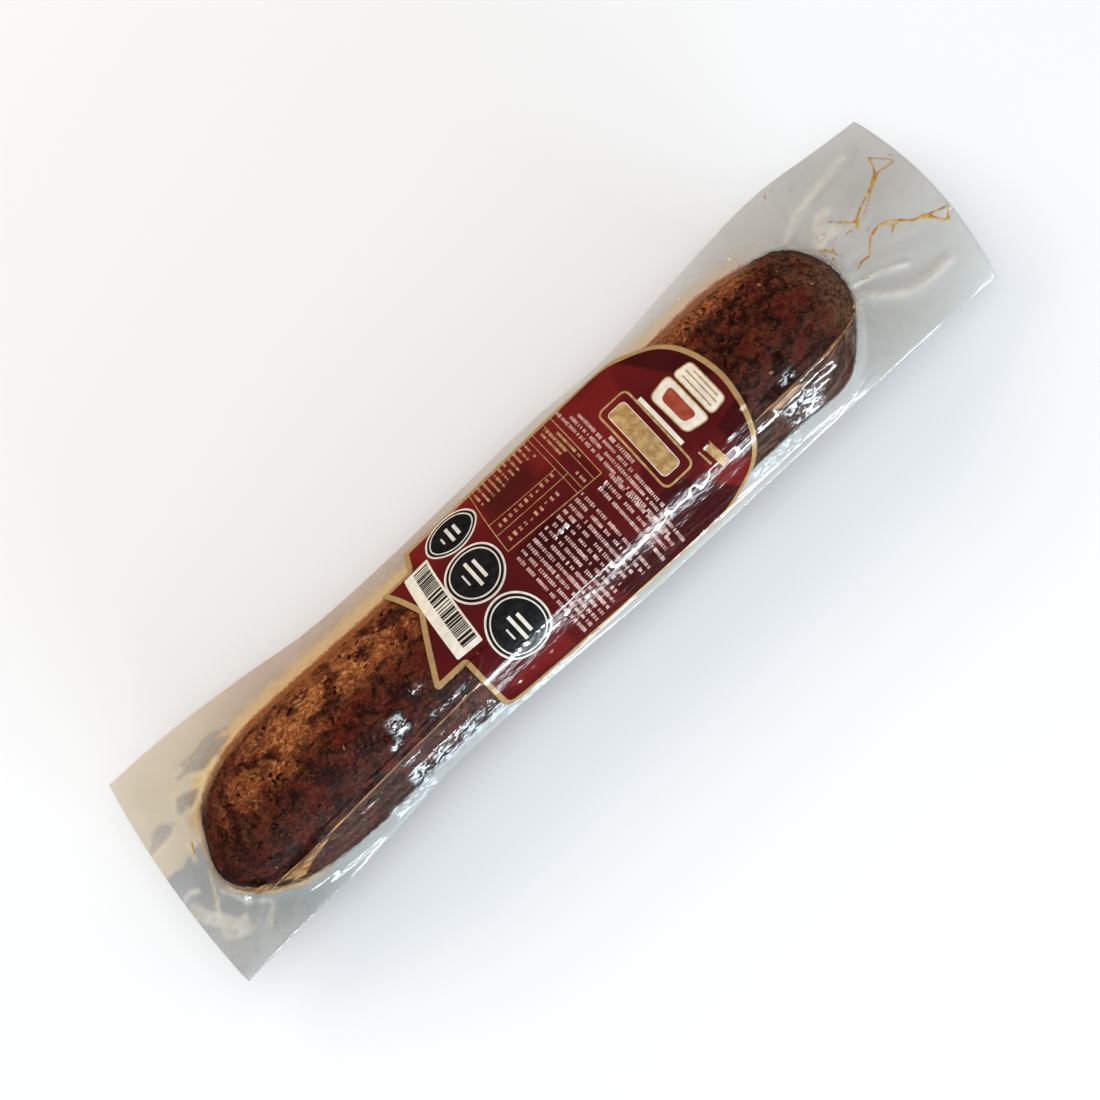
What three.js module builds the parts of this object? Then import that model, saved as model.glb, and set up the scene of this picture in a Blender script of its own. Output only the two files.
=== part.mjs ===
// A cured sausage sealed flat between two clear films, with a label wrapped over its middle.
// Millimetres. +X runs along the pack, +Y across it, +Z is up, and the underside lies on z = 0.

import * as THREE from 'three';

// ---- Driving dimensions ----

const HALF_LENGTH = 119.8; // half the pack, end edge to end edge
const HALF_WIDTH = 27.5; // half the pack at its widest end
const FILM = 0.3; // thickness of each film
const LABEL = 0.25; // thickness of the label
const GAP = 0.3; // clearance between pieces that touch
const BELLY = 16.3; // from the sausage's axis down to its flattened underside
const AXIS_Z = FILM + GAP + BELLY; // height of the sausage's axis
const WELD_Z = AXIS_Z; // height where the two films meet
const WELD_GAP = GAP + FILM; // between the middles of the two films, along the weld
const UPPER_TENT = 2.6; // how far the films stand out from the sausage before the weld, at +Y
const LOWER_TENT = 1.6; // the same at -Y
const TIP_HALF_WIDTH = 5; // half width of the films' rise at each tip of the sausage
const WEB_SPREAD = 14; // how much wider the flat web past a tip is divided, at the end edge
const LEFT_SKEW = 6.8; // how far the left end is cut off square, at its upper corner
const RIGHT_BOW = 3.6; // how far the right end's corners draw back as they hang down
const RIGHT_DROOP = 8; // how far the right end's corners hang down
const SIDE_DROOP = 1.2; // how far the long edges hang down

// ---- Outlines, each a smooth line through [x, value] ----

const SAUSAGE_RADIUS = [
  [-108.2, 0],
  [-107.4, 3.5],
  [-105, 7.4],
  [-101, 12.3],
  [-94, 16.1],
  [-84, 18.3],
  [-70, 18.8],
  [-34, 17.9],
  [0, 17.8],
  [40, 18.4],
  [60, 18.9],
  [71, 18.6],
  [76, 17.4],
  [80.5, 14.6],
  [85, 10.5],
  [88.4, 5.2],
  [90, 0],
];
const FILM_RISE = [
  [-HALF_LENGTH, 0],
  [-113.5, 0],
  [-109.8, 3.6],
  [-106.2, 9.2],
  [-102, 13],
  [-95, 16.8],
  [-84, 19],
  [-70, 19.4],
  [-34, 18.5],
  [0, 18.4],
  [40, 19],
  [60, 19.5],
  [70, 19.4],
  [76, 18.6],
  [81, 16],
  [86, 11.7],
  [90, 6.2],
  [93.5, 2.4],
  [98, 0.5],
  [103, 0],
  [107, 0],
  [111, 0],
  [115.5, 0],
  [HALF_LENGTH, 0],
];
const CENTRE_LINE = [
  [-HALF_LENGTH, -5.6],
  [-108, -5.2],
  [-99, -3],
  [-60, -2.3],
  [0, -1.4],
  [60, -0.2],
  [80, 0],
  [90, 2.6],
  [HALF_LENGTH, 2.6],
];
const UPPER_EDGE = [
  [-HALF_LENGTH, HALF_WIDTH],
  [-96, 27.2],
  [-75, 25.3],
  [-56, 22.8],
  [-30, 22.4],
  [15, 23.5],
  [36, 22.8],
  [62, 25.3],
  [86, 27],
  [104, 25.6],
  [HALF_LENGTH, 24.3],
];
const LOWER_EDGE = [
  [-HALF_LENGTH, -HALF_WIDTH],
  [-97, -26.2],
  [-78, -25.5],
  [-56, -23.3],
  [-34, -22.8],
  [5, -24.2],
  [60, -23.9],
  [90, -23.9],
  [HALF_LENGTH, -24.8],
];

// ---- Label outline ----

const LABEL_HALF_SPAN = 8 / 9; // how far round the film the label reaches, of the film's half span
const LABEL_HEAD_X = 31; // where the label's round head begins
const LABEL_HEAD_LENGTH = 22.7; // how far the head runs on from there
const LABEL_TAIL = [
  [-0.9, -30],
  [-0.75, -33.3],
  [-0.15, -33.3],
  [-0.12, -41.8],
  [-0.09, -41.8],
  [0.22, -33.4],
  [0.5, -37.5],
  [0.53, -28.8],
  [0.9, -27.4],
];

// ---- How finely each piece is divided ----

const SAUSAGE_SIDES = 24;
const SAUSAGE_RINGS = 40;
const FILM_COLUMNS = 18; // 12 round the sausage and 3 on each flange
const DOME_SHARE = 2 / 3; // the share of the film's span that lies round the sausage
const LABEL_RINGS = 16;
const LABEL_COLUMNS = 16;

// ---- Reading the outlines ----

// Slope of the line at point k, from its neighbours.
function slopeAt(points, k) {
  const before = points[Math.max(k - 1, 0)];
  const after = points[Math.min(k + 1, points.length - 1)];
  return (after[1] - before[1]) / (after[0] - before[0]);
}

// The smooth line's value at x, by a cubic between each two points.
function smoothLine(points, x) {
  const last = points.length - 2;
  let k = 0;
  while (k < last && x > points[k + 1][0]) k += 1;
  const [x0, y0] = points[k];
  const [x1, y1] = points[k + 1];
  const span = x1 - x0;
  const t = THREE.MathUtils.clamp((x - x0) / span, 0, 1);
  const startWeight = (1 + 2 * t) * (1 - t) ** 2;
  const startSlopeWeight = t * (1 - t) ** 2 * span;
  const endSlopeWeight = t ** 2 * (t - 1) * span;
  return (
    startWeight * y0 +
    (1 - startWeight) * y1 +
    startSlopeWeight * slopeAt(points, k) +
    endSlopeWeight * slopeAt(points, k + 1)
  );
}

// The straight-sided line's value at x.
function brokenLine(points, x) {
  const last = points.length - 2;
  let k = 0;
  while (k < last && x > points[k + 1][0]) k += 1;
  const t = (x - points[k][0]) / (points[k + 1][0] - points[k][0]);
  return THREE.MathUtils.lerp(points[k][1], points[k + 1][1], t);
}

// Each outline point of the film's rise and the middle between it and the next.
function filmStations() {
  const stations = [];
  FILM_RISE.forEach(([x], k) => {
    if (k > 0) stations.push((FILM_RISE[k - 1][0] + x) / 2);
    stations.push(x);
  });
  return stations;
}

// ---- The films' shape ----

// How much of each end's bending reaches x, from 0 on the sausage to 1 at the end edge.
function endShare(x) {
  const left = THREE.MathUtils.smoothstep(-x, 100, HALF_LENGTH);
  const right = THREE.MathUtils.smoothstep(x, 92, HALF_LENGTH);
  return { left, right };
}

// A point of the film, span v from -1 to 1 across it, lifted by lift along its outward side.
// side is 1 on the top film and -1 on the back film. The film lies round the sausage from its
// middle to the angle leaving, runs straight from there to the weld, and lies flat on the flange.
function filmPoint(x, v, lift, side) {
  const centre = smoothLine(CENTRE_LINE, x);
  const rise = Math.max(smoothLine(FILM_RISE, x), 0);
  const sign = v < 0 ? -1 : 1;
  const edge = smoothLine(sign > 0 ? UPPER_EDGE : LOWER_EDGE, x);
  const bend = endShare(x);
  const tent = sign > 0 ? UPPER_TENT : LOWER_TENT;
  const webHalf = TIP_HALF_WIDTH + WEB_SPREAD * Math.max(bend.left, bend.right);
  const rootHalf = Math.max(rise + tent, webHalf);
  const leaving = Math.asin(rise / rootHalf); // where the film leaves the sausage, from its top
  const angle = (Math.abs(v) / DOME_SHARE) * (Math.PI / 2);
  const onFlange = Math.max(Math.abs(v) - DOME_SHARE, 0) / (1 - DOME_SHARE);
  let y;
  let z;
  if (angle < leaving) {
    y = centre + sign * (rise + lift) * Math.sin(angle);
    z = (rise + lift) * Math.cos(angle);
  } else if (onFlange < 1e-6) {
    const share = (angle - leaving) / (Math.PI / 2 - leaving);
    const half = THREE.MathUtils.lerp(rise * Math.sin(leaving), rootHalf, share);
    const outward = THREE.MathUtils.lerp(Math.sin(leaving), Math.tan(leaving / 2), share) * lift;
    const upward = THREE.MathUtils.lerp(Math.cos(leaving), 1, share) * lift;
    y = centre + sign * (half + outward);
    z = THREE.MathUtils.lerp(rise * Math.cos(leaving), 0, share) + upward;
  } else {
    y = THREE.MathUtils.lerp(centre + sign * rootHalf, edge, onFlange);
    z = lift;
  }
  const acrossShare = (y / HALF_WIDTH) ** 2;
  const droop = RIGHT_DROOP * bend.right * acrossShare + SIDE_DROOP * onFlange ** 2;
  const skew = LEFT_SKEW * bend.left * ((y + HALF_WIDTH) / (2 * HALF_WIDTH)) ** 2;
  const bow = RIGHT_BOW * bend.right * acrossShare;
  const height = WELD_Z + side * (z + WELD_GAP / 2) - droop;
  return new THREE.Vector3(x + skew - bow, y, height);
}

// A slab divided into columns and rings, each of its points moved by place(u, v, w).
function drapedSlab(rings, columns, place) {
  const slab = new THREE.BoxGeometry(2, 2, 2, rings, columns, 1);
  const position = slab.getAttribute('position');
  for (let i = 0; i < position.count; i += 1) {
    const point = place(position.getX(i), position.getY(i), position.getZ(i));
    position.setXYZ(i, point.x, point.y, point.z);
  }
  slab.computeVertexNormals();
  return slab;
}

// ---- Pieces ----

function named(name, geometry, material) {
  const mesh = new THREE.Mesh(geometry, material);
  mesh.name = name;
  return mesh;
}

// One solid: a round body with blunt ends, bent along its centre line and flat underneath.
function makeSausage() {
  const curve = new THREE.SplineCurve(SAUSAGE_RADIUS.map(([x, r]) => new THREE.Vector2(r, x)));
  const profile = curve.getPoints(SAUSAGE_RINGS);
  profile[0].x = 0;
  profile[profile.length - 1].x = 0;
  const body = new THREE.LatheGeometry(profile, SAUSAGE_SIDES);
  const position = body.getAttribute('position');
  for (let i = 0; i < position.count; i += 1) {
    const x = position.getY(i);
    const y = position.getZ(i) + smoothLine(CENTRE_LINE, x);
    const z = Math.max(position.getX(i), -BELLY) + AXIS_Z;
    position.setXYZ(i, x, y, z);
  }
  body.computeVertexNormals();
  const crust = new THREE.MeshStandardMaterial({
    color: 0x6b2d18,
    roughness: 0.7,
    metalness: 0,
  });
  return named('sausage', body, crust);
}

// One web of film, from the left end edge to the right.
function makeFilm(name, side) {
  const stations = filmStations();
  const rings = stations.length - 1;
  const web = drapedSlab(rings, FILM_COLUMNS, (u, v, w) => {
    const x = stations[Math.round(((u + 1) / 2) * rings)];
    const point = filmPoint(x, v, side * w * (FILM / 2), side);
    const floor = w > 0 ? FILM : 0;
    point.z = Math.max(point.z, floor);
    return point;
  });
  const clear = new THREE.MeshStandardMaterial({
    color: 0xbcb8ae,
    roughness: 0.15,
    metalness: 0,
  });
  return named(name, web, clear);
}

// The label lies on the top film, with a round head and a notched tail.
function makeLabel() {
  const sheet = drapedSlab(LABEL_RINGS, LABEL_COLUMNS, (u, v, w) => {
    const span = v * LABEL_HALF_SPAN;
    const tail = brokenLine(LABEL_TAIL, span);
    const head = LABEL_HEAD_X + LABEL_HEAD_LENGTH * Math.sqrt(1 - v ** 2);
    const x = THREE.MathUtils.lerp(tail, head, (u + 1) / 2);
    const lift = FILM / 2 + GAP + LABEL / 2 + w * (LABEL / 2);
    return filmPoint(x, span, lift, 1);
  });
  const print = new THREE.MeshStandardMaterial({
    color: 0x641a18,
    roughness: 0.25,
    metalness: 0,
  });
  return named('label', sheet, print);
}

const pack = new THREE.Group();
pack.add(makeSausage());
pack.add(makeFilm('back_film', -1));
pack.add(makeFilm('top_film', 1));
pack.add(makeLabel());

export default pack;
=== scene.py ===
"""A cured sausage sealed between two clear films, with a printed label over its middle.

Shapes are worked out in millimetres along the pack (x), across it (y) and up (z), and every mesh is
written in metres. A place on the top film is given as (x, round), where round is the length in
millimetres along the film's surface from the line over the sausage's middle, positive towards +Y.
"""

import math

import bmesh
import bpy
import numpy as np
from mathutils import Matrix, Vector


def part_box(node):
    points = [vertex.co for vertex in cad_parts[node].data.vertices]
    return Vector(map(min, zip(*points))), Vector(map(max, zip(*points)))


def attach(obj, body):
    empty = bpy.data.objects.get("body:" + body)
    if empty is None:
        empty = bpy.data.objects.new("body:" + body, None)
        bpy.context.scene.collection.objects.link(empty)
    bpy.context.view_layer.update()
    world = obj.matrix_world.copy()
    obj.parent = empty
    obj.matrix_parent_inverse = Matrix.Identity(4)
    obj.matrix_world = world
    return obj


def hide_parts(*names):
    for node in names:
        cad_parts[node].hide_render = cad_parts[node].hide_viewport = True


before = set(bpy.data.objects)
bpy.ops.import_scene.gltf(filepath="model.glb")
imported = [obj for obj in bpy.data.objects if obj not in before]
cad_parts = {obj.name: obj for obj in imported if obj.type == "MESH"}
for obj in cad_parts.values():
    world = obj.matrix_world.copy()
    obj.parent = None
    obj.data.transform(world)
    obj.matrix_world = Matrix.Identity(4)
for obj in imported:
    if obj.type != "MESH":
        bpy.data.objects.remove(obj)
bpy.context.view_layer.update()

MM = 0.001

# ---- Sizes, in millimetres ----

FILM = 0.3
GAP = 0.3
LABEL_THICK = 0.25
PRINT_THICK = 0.05
UPPER_TENT = 2.6
LOWER_TENT = 1.6
TIP_HALF_WIDTH = 5
WEB_SPREAD = 14
LEFT_SKEW = 6.8
RIGHT_BOW = 3.6
RIGHT_DROOP = 8
SIDE_DROOP = 1.2
FILLET_UP_SLOPE = 4.0
FILLET_OUT = 1.8

FILM_LOW, FILM_HIGH = (np.array(corner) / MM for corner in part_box("back_film"))
SAUSAGE_LOW, SAUSAGE_HIGH = (np.array(corner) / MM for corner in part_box("sausage"))
HALF_LENGTH = -FILM_LOW[0]
HALF_WIDTH = FILM_HIGH[1]
BELLY = 16.3
AXIS_Z = SAUSAGE_LOW[2] + BELLY
WELD_GAP = GAP + FILM

# ---- Outlines, each a smooth line through (x, value) ----

SAUSAGE_RADIUS = [
    (-108.2, 0), (-107.4, 3.5), (-105, 7.4), (-101, 12.3), (-94, 16.1), (-84, 18.3),
    (-70, 18.8), (-34, 17.9), (0, 17.8), (40, 18.4), (60, 18.9), (71, 18.6), (76, 17.5),
    (80.5, 15.4), (85, 11.6), (88.3, 6.8), (89.6, 3.2), (90, 0),
]
FILM_RISE = [
    (-HALF_LENGTH, 0), (-112, 0), (-110.2, 0.6), (-108.8, 3.4), (-106.2, 7.6), (-102, 12.4),
    (-95, 16.4), (-84, 18.9), (-70, 19.4), (-34, 18.5), (0, 18.4), (40, 19), (60, 19.5),
    (70, 19.3), (76, 18.3), (81, 16), (86, 11.7), (89.2, 6.8), (90.8, 3.2), (92.6, 0.7),
    (96, 0), (107, 0), (HALF_LENGTH, 0),
]
CENTRE_LINE = [
    (-HALF_LENGTH, -5.6), (-108, -5.2), (-99, -3), (-60, -2.3), (0, -1.4), (60, -0.2),
    (75, -1.0), (84, 1.1), (90, 1.0), (HALF_LENGTH, 1.6),
]
UPPER_EDGE = [
    (-HALF_LENGTH, HALF_WIDTH), (-96, 27.2), (-75, 25.3), (-56, 22.8), (-30, 22.4),
    (15, 23.5), (36, 22.8), (62, 25.3), (86, 27), (104, 25.6), (HALF_LENGTH, 24.3),
]
LOWER_EDGE = [
    (-HALF_LENGTH, -HALF_WIDTH), (-97, -26.2), (-78, -25.5), (-56, -23.3), (-34, -22.8),
    (5, -24.2), (60, -23.9), (90, -23.9), (HALF_LENGTH, -24.8),
]
CREASE = [
    (-102, -15.2), (-98.8, -14.9), (-80.4, -14.5), (-57.4, -13.3), (-40.2, -12.6), (0, -12),
    (49.4, -11.4), (68.9, -10.6), (78, -10.4), (88, -7.6),
]


# ---- Reading the outlines ----

def smooth_line(points, x):
    """The smooth line's value at every x, by a cubic between each two points."""
    px, py = (np.array(column, float) for column in zip(*points))
    x = np.clip(np.asarray(x, float), px[0], px[-1])
    slope = np.empty_like(py)
    slope[1:-1] = (py[2:] - py[:-2]) / (px[2:] - px[:-2])
    slope[0] = (py[1] - py[0]) / (px[1] - px[0])
    slope[-1] = (py[-1] - py[-2]) / (px[-1] - px[-2])
    k = np.clip(np.searchsorted(px, x) - 1, 0, len(px) - 2)
    span = px[k + 1] - px[k]
    t = (x - px[k]) / span
    start = (1 + 2 * t) * (1 - t) ** 2
    value = start * py[k] + (1 - start) * py[k + 1]
    return value + span * (t * (1 - t) ** 2 * slope[k] + t ** 2 * (t - 1) * slope[k + 1])


def smoothstep(x, low, high):
    t = np.clip((x - low) / (high - low), 0, 1)
    return t * t * (3 - 2 * t)


def lerp(a, b, t):
    return a + (b - a) * t


def span(x, low, high, outside, inside):
    """1 between low and high, which fades to 0 over a short way outside and inside each end."""
    return smoothstep(x, low - outside, low + inside) * smoothstep(-x, -high - outside, inside - high)


# ---- Noise that is the same on every run ----

def lattice(cell, seed):
    """A number from 0 to 1 for every whole-numbered cell."""
    h = cell[..., 0] * 374761393 + cell[..., 1] * 668265263 + cell[..., 2] * 2147483647
    h = (h + seed * 1274126177) & 0xFFFFFFFF
    h = ((h ^ (h >> 13)) * 1274126177) & 0xFFFFFFFF
    return ((h ^ (h >> 16)) & 0xFFFF) / 65535.0


def noise(points, size, seed=0):
    """Smooth noise from -1 to 1, with lumps about size millimetres across."""
    p = np.asarray(points, float) / np.asarray(size, float)
    cell = np.floor(p).astype(np.int64)
    t = p - cell
    t = t * t * (3 - 2 * t)
    total = 0
    for corner in np.ndindex(2, 2, 2):
        weight = np.prod(np.where(np.array(corner) == 1, t, 1 - t), axis=-1)
        total = total + weight * lattice(cell + np.array(corner), seed)
    return 2 * total - 1


def layered_noise(points, size, layers, seed=0):
    """Noise with finer and fainter noise on top of it."""
    size = np.asarray(size, float)
    total, weight = 0, 0
    for k in range(layers):
        total = total + noise(points, size / 2 ** k, seed + 17 * k) / 2 ** k
        weight += 1 / 2 ** k
    return total / weight


def flat_points(x, y):
    return np.stack([x, y, np.zeros_like(x)], axis=-1)


# ---- The films' shape ----

class Section:
    """The film's cross-section at every x, on the side that sign gives."""

    def __init__(self, x, sign):
        self.sign = sign
        self.centre = smooth_line(CENTRE_LINE, x)
        self.rise = np.maximum(smooth_line(FILM_RISE, x), 0)
        upper = smooth_line(UPPER_EDGE, x)
        lower = smooth_line(LOWER_EDGE, x)
        self.edge = np.where(sign > 0, upper - self.centre, self.centre - lower)
        tent = np.where(sign > 0, UPPER_TENT, LOWER_TENT) * (0.4 + 0.6 * smoothstep(self.rise, 4, 15))
        self.root = np.maximum(self.rise + tent, TIP_HALF_WIDTH + WEB_SPREAD * end_share(x).max(0))
        self.leaving = np.arcsin(self.rise / self.root)
        self.arc = self.rise * self.leaving
        self.slope = np.sqrt(self.root ** 2 - self.rise ** 2)
        self.to_weld = self.arc + self.slope
        self.flange = self.edge - self.root
        self.whole = self.to_weld + self.flange


def end_share(x):
    """How much of the left and of the right end's bending reaches x."""
    return np.array([smoothstep(-x, 100, HALF_LENGTH), smoothstep(x, 92, HALF_LENGTH)])


def film_point(x, around, lift=0.0, side=1):
    """Where the film is, in millimetres, at the length around on its surface, lifted outwards."""
    x, around, lift = np.broadcast_arrays(*(np.asarray(a, float) for a in (x, around, lift)))
    sign = np.where(around < 0, -1.0, 1.0)
    s = Section(x, sign)
    length = np.abs(around)
    angle = np.divide(length, s.rise, out=np.zeros_like(length), where=s.rise > 1e-6)
    angle = np.minimum(angle, s.leaving)
    down_sin, down_cos = np.sin(s.leaving), np.cos(s.leaving)
    past = np.clip(length - s.arc, 0, None)
    on_slope = np.minimum(past, s.slope)
    on_flange = np.clip(length - s.to_weld, 0, None)
    half = s.rise * np.sin(angle) + on_slope * down_cos + on_flange
    height = s.rise * np.cos(angle) - on_slope * down_sin
    lean = np.where(length < s.arc, angle, np.where(on_flange > 0, 0, s.leaving))
    # The corner at the weld is rounded by a curve that starts up the slope and ends on the flange.
    up = np.minimum(FILLET_UP_SLOPE, 0.6 * s.slope)
    out = np.minimum(FILLET_OUT, 0.45 * s.flange)
    t = np.clip((length - s.to_weld + up) / (up + out), 0, 1)
    at_corner = (length > s.to_weld - up) & (length < s.to_weld + out) & (s.rise > 0.01)
    corner_half = s.root - up * (1 - t) ** 2 * down_cos + out * t ** 2
    corner_height = up * (1 - t) ** 2 * down_sin
    half = np.where(at_corner, corner_half, half)
    height = np.where(at_corner, corner_height, height)
    lean = np.where(at_corner, s.leaving * (1 - t), lean)
    y = s.centre + sign * (half + lift * np.sin(lean))
    z = height + lift * np.cos(lean)
    left, right = end_share(x)
    across = (y / HALF_WIDTH) ** 2
    flange_share = on_flange / s.flange
    droop = RIGHT_DROOP * right * across + SIDE_DROOP * flange_share ** 2
    skew = LEFT_SKEW * left * ((y + HALF_WIDTH) / (2 * HALF_WIDTH)) ** 2
    px = x + skew - RIGHT_BOW * right * across
    pz = AXIS_Z + side * (z + WELD_GAP / 2) - droop
    return np.stack([px, y, pz], axis=-1)


def around_at(x, y, lift=0.0):
    """The length round the top film's surface at which a point lifted off it is over (x, y)."""
    x, y = np.broadcast_arrays(np.asarray(x, float), np.asarray(y, float))
    offset = y - smooth_line(CENTRE_LINE, x)
    sign = np.where(offset < 0, -1.0, 1.0)
    s = Section(x, sign)
    half = np.abs(offset)
    reach = np.maximum(s.rise + lift, 1e-6)
    on_arc = s.rise * np.arcsin(np.clip(half / reach, 0, 1))
    leaves_at = reach * np.sin(s.leaving)
    on_slope = s.arc + (half - leaves_at) / np.maximum(np.cos(s.leaving), 1e-3)
    on_flange = s.to_weld + half - s.root
    length = np.where(half < leaves_at, on_arc, np.where(half < s.root, on_slope, on_flange))
    return sign * length


# Small flat places in the film that face the window: (x, y, half length, half breadth).
DENTS = [
    (-53.9, -7, 1.7, 2.1), (-45.3, -3.7, 1.4, 1.1), (-57, -10.3, 1.6, 1.3), (-50.5, -9.6, 0.9, 1.4),
    (3.5, 0.2, 2.4, 0.8), (16.5, 1.2, 2.0, 0.7), (-35.5, -9.6, 1.2, 0.9), (-40, -10.8, 5, 0.7),
    (40, -7.4, 1, 0.8), (45.5, -9.7, 1.4, 0.9), (52, -6.5, 0.9, 0.9), (90.1, -0.2, 0.8, 1.1),
    (88.9, -5.8, 1.4, 0.8), (97.1, 10.3, 0.8, 0.8), (119, -5.3, 0.9, 0.8), (62.5, -9.2, 1.4, 0.8),
    (-27, -18, 0.9, 0.9), (-22.5, -17.9, 0.8, 0.7), (-17, -17.8, 0.8, 0.7), (-8.5, -14.2, 0.8, 0.7),
    (64.6, -17.4, 3.6, 1.9), (60.4, -15, 1.6, 1.2), (71, -8.4, 1, 0.9), (77, -5.6, 0.9, 0.9),
]
# Where the film is crinkled, and where its finish has painted glints: (low x, high x, low y, high y).
CRINKLES_WITH_PAINTED_GLINTS = [
    (-69, -57, -23.6, -20.8), (-60, -33, -21.2, -17.4), (-34, -16, -23.2, -21.4),
    (58.4, 67, -18.6, -14), (53.5, 58.5, -21.6, -19), (-55.6, -52, -9.4, -5), (-58.4, -55.8, -11, -9.4),
    (-46.6, -44.2, -4.2, -3.2), (-47, -33, -11.2, -10.5), (62, 66, -9.4, -7.6), (44, 53, -21.6, -19.6),
]
# Long folds that stand up from the webs: (height, half width, points).
PLEATS = [
    (0.7, 0.9, [(84, 13), (88.8, 15.1), (95.3, 17.8), (101.1, 19.2), (108.8, 19.6), (113, 19.2)]),
    (0.8, 0.9, [(88, -5), (91.8, -7.9), (95.7, -10.6), (100.3, -13.3), (106.1, -14.2), (112, -14)]),
    (0.4, 0.7, [(90, -3), (96, -5), (103, -7.6)]),
    (0.4, 0.7, [(91, 8), (98, 12), (104, 13.5)]),
    (0.6, 0.9, [(-116.8, 9), (-113.5, 12.2), (-110.8, 13), (-106, 10)]),
    (0.6, 0.9, [(-106, 11.5), (-103.5, 14.9), (-98.5, 13.2)]),
    (0.5, 0.8, [(-100.5, 18), (-95, 14.9), (-88, 16.2)]),
    (0.5, 0.8, [(-103, -13), (-107.5, -17), (-111, -19)]),
    (0.4, 0.8, [(-111, -7), (-116, -12), (-114, -17)]),
    (0.3, 0.5, [(-30, -5.9), (-29.3, -7.6), (-31, -9), (-34, -10.2), (-39, -11.8)]),
]
WINDOW_PLACE = (0.03, -0.75, 0.1)


def smooth_path(points, step=1.2):
    """Points about step millimetres apart on a smooth line through the given ones."""
    given = np.array(points, float)
    gaps = np.linalg.norm(np.diff(given[:, :2], axis=0), axis=1)
    along = np.concatenate([[0], np.cumsum(gaps)])
    at = np.linspace(0, along[-1], max(int(along[-1] / step), 2) + 1)
    columns = [smooth_line(list(zip(along, column)), at) for column in given.T]
    return list(zip(*columns))


def path_distance(x, y, points):
    """How far every place is from the line through the points."""
    nearest = np.full(x.shape, 1e9)
    for (ax, ay), (bx, by) in zip(points[:-1], points[1:]):
        length = max((bx - ax) ** 2 + (by - ay) ** 2, 1e-9)
        t = np.clip(((x - ax) * (bx - ax) + (y - ay) * (by - ay)) / length, 0, 1)
        nearest = np.minimum(nearest, np.hypot(x - ax - t * (bx - ax), y - ay - t * (by - ay)))
    return nearest


def glint_lean(y, z):
    """The lean at which the film mirrors the window straight up to the viewer."""
    window = np.array([WINDOW_PLACE[1] / MM - y, WINDOW_PLACE[2] / MM - z])
    viewer = np.array([-y, AXIS_Z + VIEW_DISTANCE - z])
    between = window / np.linalg.norm(window) + viewer / np.linalg.norm(viewer)
    return math.atan2(-between[0], between[1])


def place_dents():
    """Every dent as (x, round, half length, half breadth, slope, bend of the film round it)."""
    placed = []
    for x, y, half_length, half_breadth in DENTS:
        middle = float(around_at(x, y))
        before, after = film_point(x, np.array([middle - 0.4, middle + 0.4]))
        tilt = math.atan2(after[2] - before[2], after[1] - before[1])
        section = Section(np.array(x), np.array(-1.0 if middle < 0 else 1.0))
        bend = 0.5 / float(section.rise) if abs(middle) < section.arc else 0.0
        slope = math.tan(glint_lean(y, (before[2] + after[2]) / 2) - tilt)
        placed.append((x, middle, half_length, half_breadth, slope, bend))
    return placed


PLACED_DENTS = []


def dents(x, around):
    """How far the dents stand off the film, and how much of each place they take up."""
    if not PLACED_DENTS:
        PLACED_DENTS.extend(place_dents())
    total, taken = np.zeros(x.shape), np.zeros(x.shape)
    low, high = x.min() - 12, x.max() + 12
    for dent_x, middle, half_length, half_breadth, lean, bend in PLACED_DENTS:
        if low < dent_x < high:
            off = around - middle
            reach = np.hypot((x - dent_x) / half_length, off / half_breadth)
            outward = 0.7 * abs(lean) * half_breadth
            flat = lean * off + bend * off ** 2 + outward
            share = 1 - smoothstep(reach, 0.9, 1.5)
            total = total + flat * share
            taken = np.maximum(taken, share)
    return total, taken


# The fold along the crease: (length past the crease, height).
FOLD_PROFILE = [(-4, 0), (-2.6, 0.05), (0, 0.55), (0.8, 0.22), (2.5, -0.2), (5, -0.2), (8, 0)]
# Where the label lies smooth over the fold: (low x, high x).
SMOOTH_SPANS = [(6.5, 22.5), (24.2, 30.4), (32.6, 36), (45.6, 57)]


def crease_fold(x, around):
    """The film stands up in a fold along the crease and drops steeply past it."""
    crease = -around_at(x, smooth_line(CREASE, x))
    past = -around - crease
    height = np.interp(past, *zip(*FOLD_PROFILE))
    flat = np.zeros(x.shape)
    for low, high in SMOOTH_SPANS:
        flat = np.maximum(flat, span(x, low, high, 2, 1))
    under_label = smoothstep(x, -36, -33) * smoothstep(-x, -57, -54)
    wander = 0.75 + 0.25 * noise(flat_points(x, 0 * x), 9, 83)
    strength = (1 - 0.5 * under_label) * (1 - 0.9 * flat) * wander
    return height * strength * smoothstep(x, -104, -98) * smoothstep(-x, -90, -84)


def crinkled(x, y):
    """1 in the crinkled places, where the film also has painted glints, fading to 0 round them."""
    share = np.zeros(x.shape)
    for low_x, high_x, low_y, high_y in CRINKLES_WITH_PAINTED_GLINTS:
        along = span(x, low_x, high_x, 1.5, 0.5)
        share = np.maximum(share, along * span(y, low_y, high_y, 0.8, 0.4))
    return share


# How far the film's unevenness stands off it at most.
LUMP_HEIGHT = 0.13
CREASE_HEIGHT = 0.13
FACET_HEIGHT = 0.28
FAN_HEIGHT = 0.5
WAVE_HEIGHT = 0.22


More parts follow.
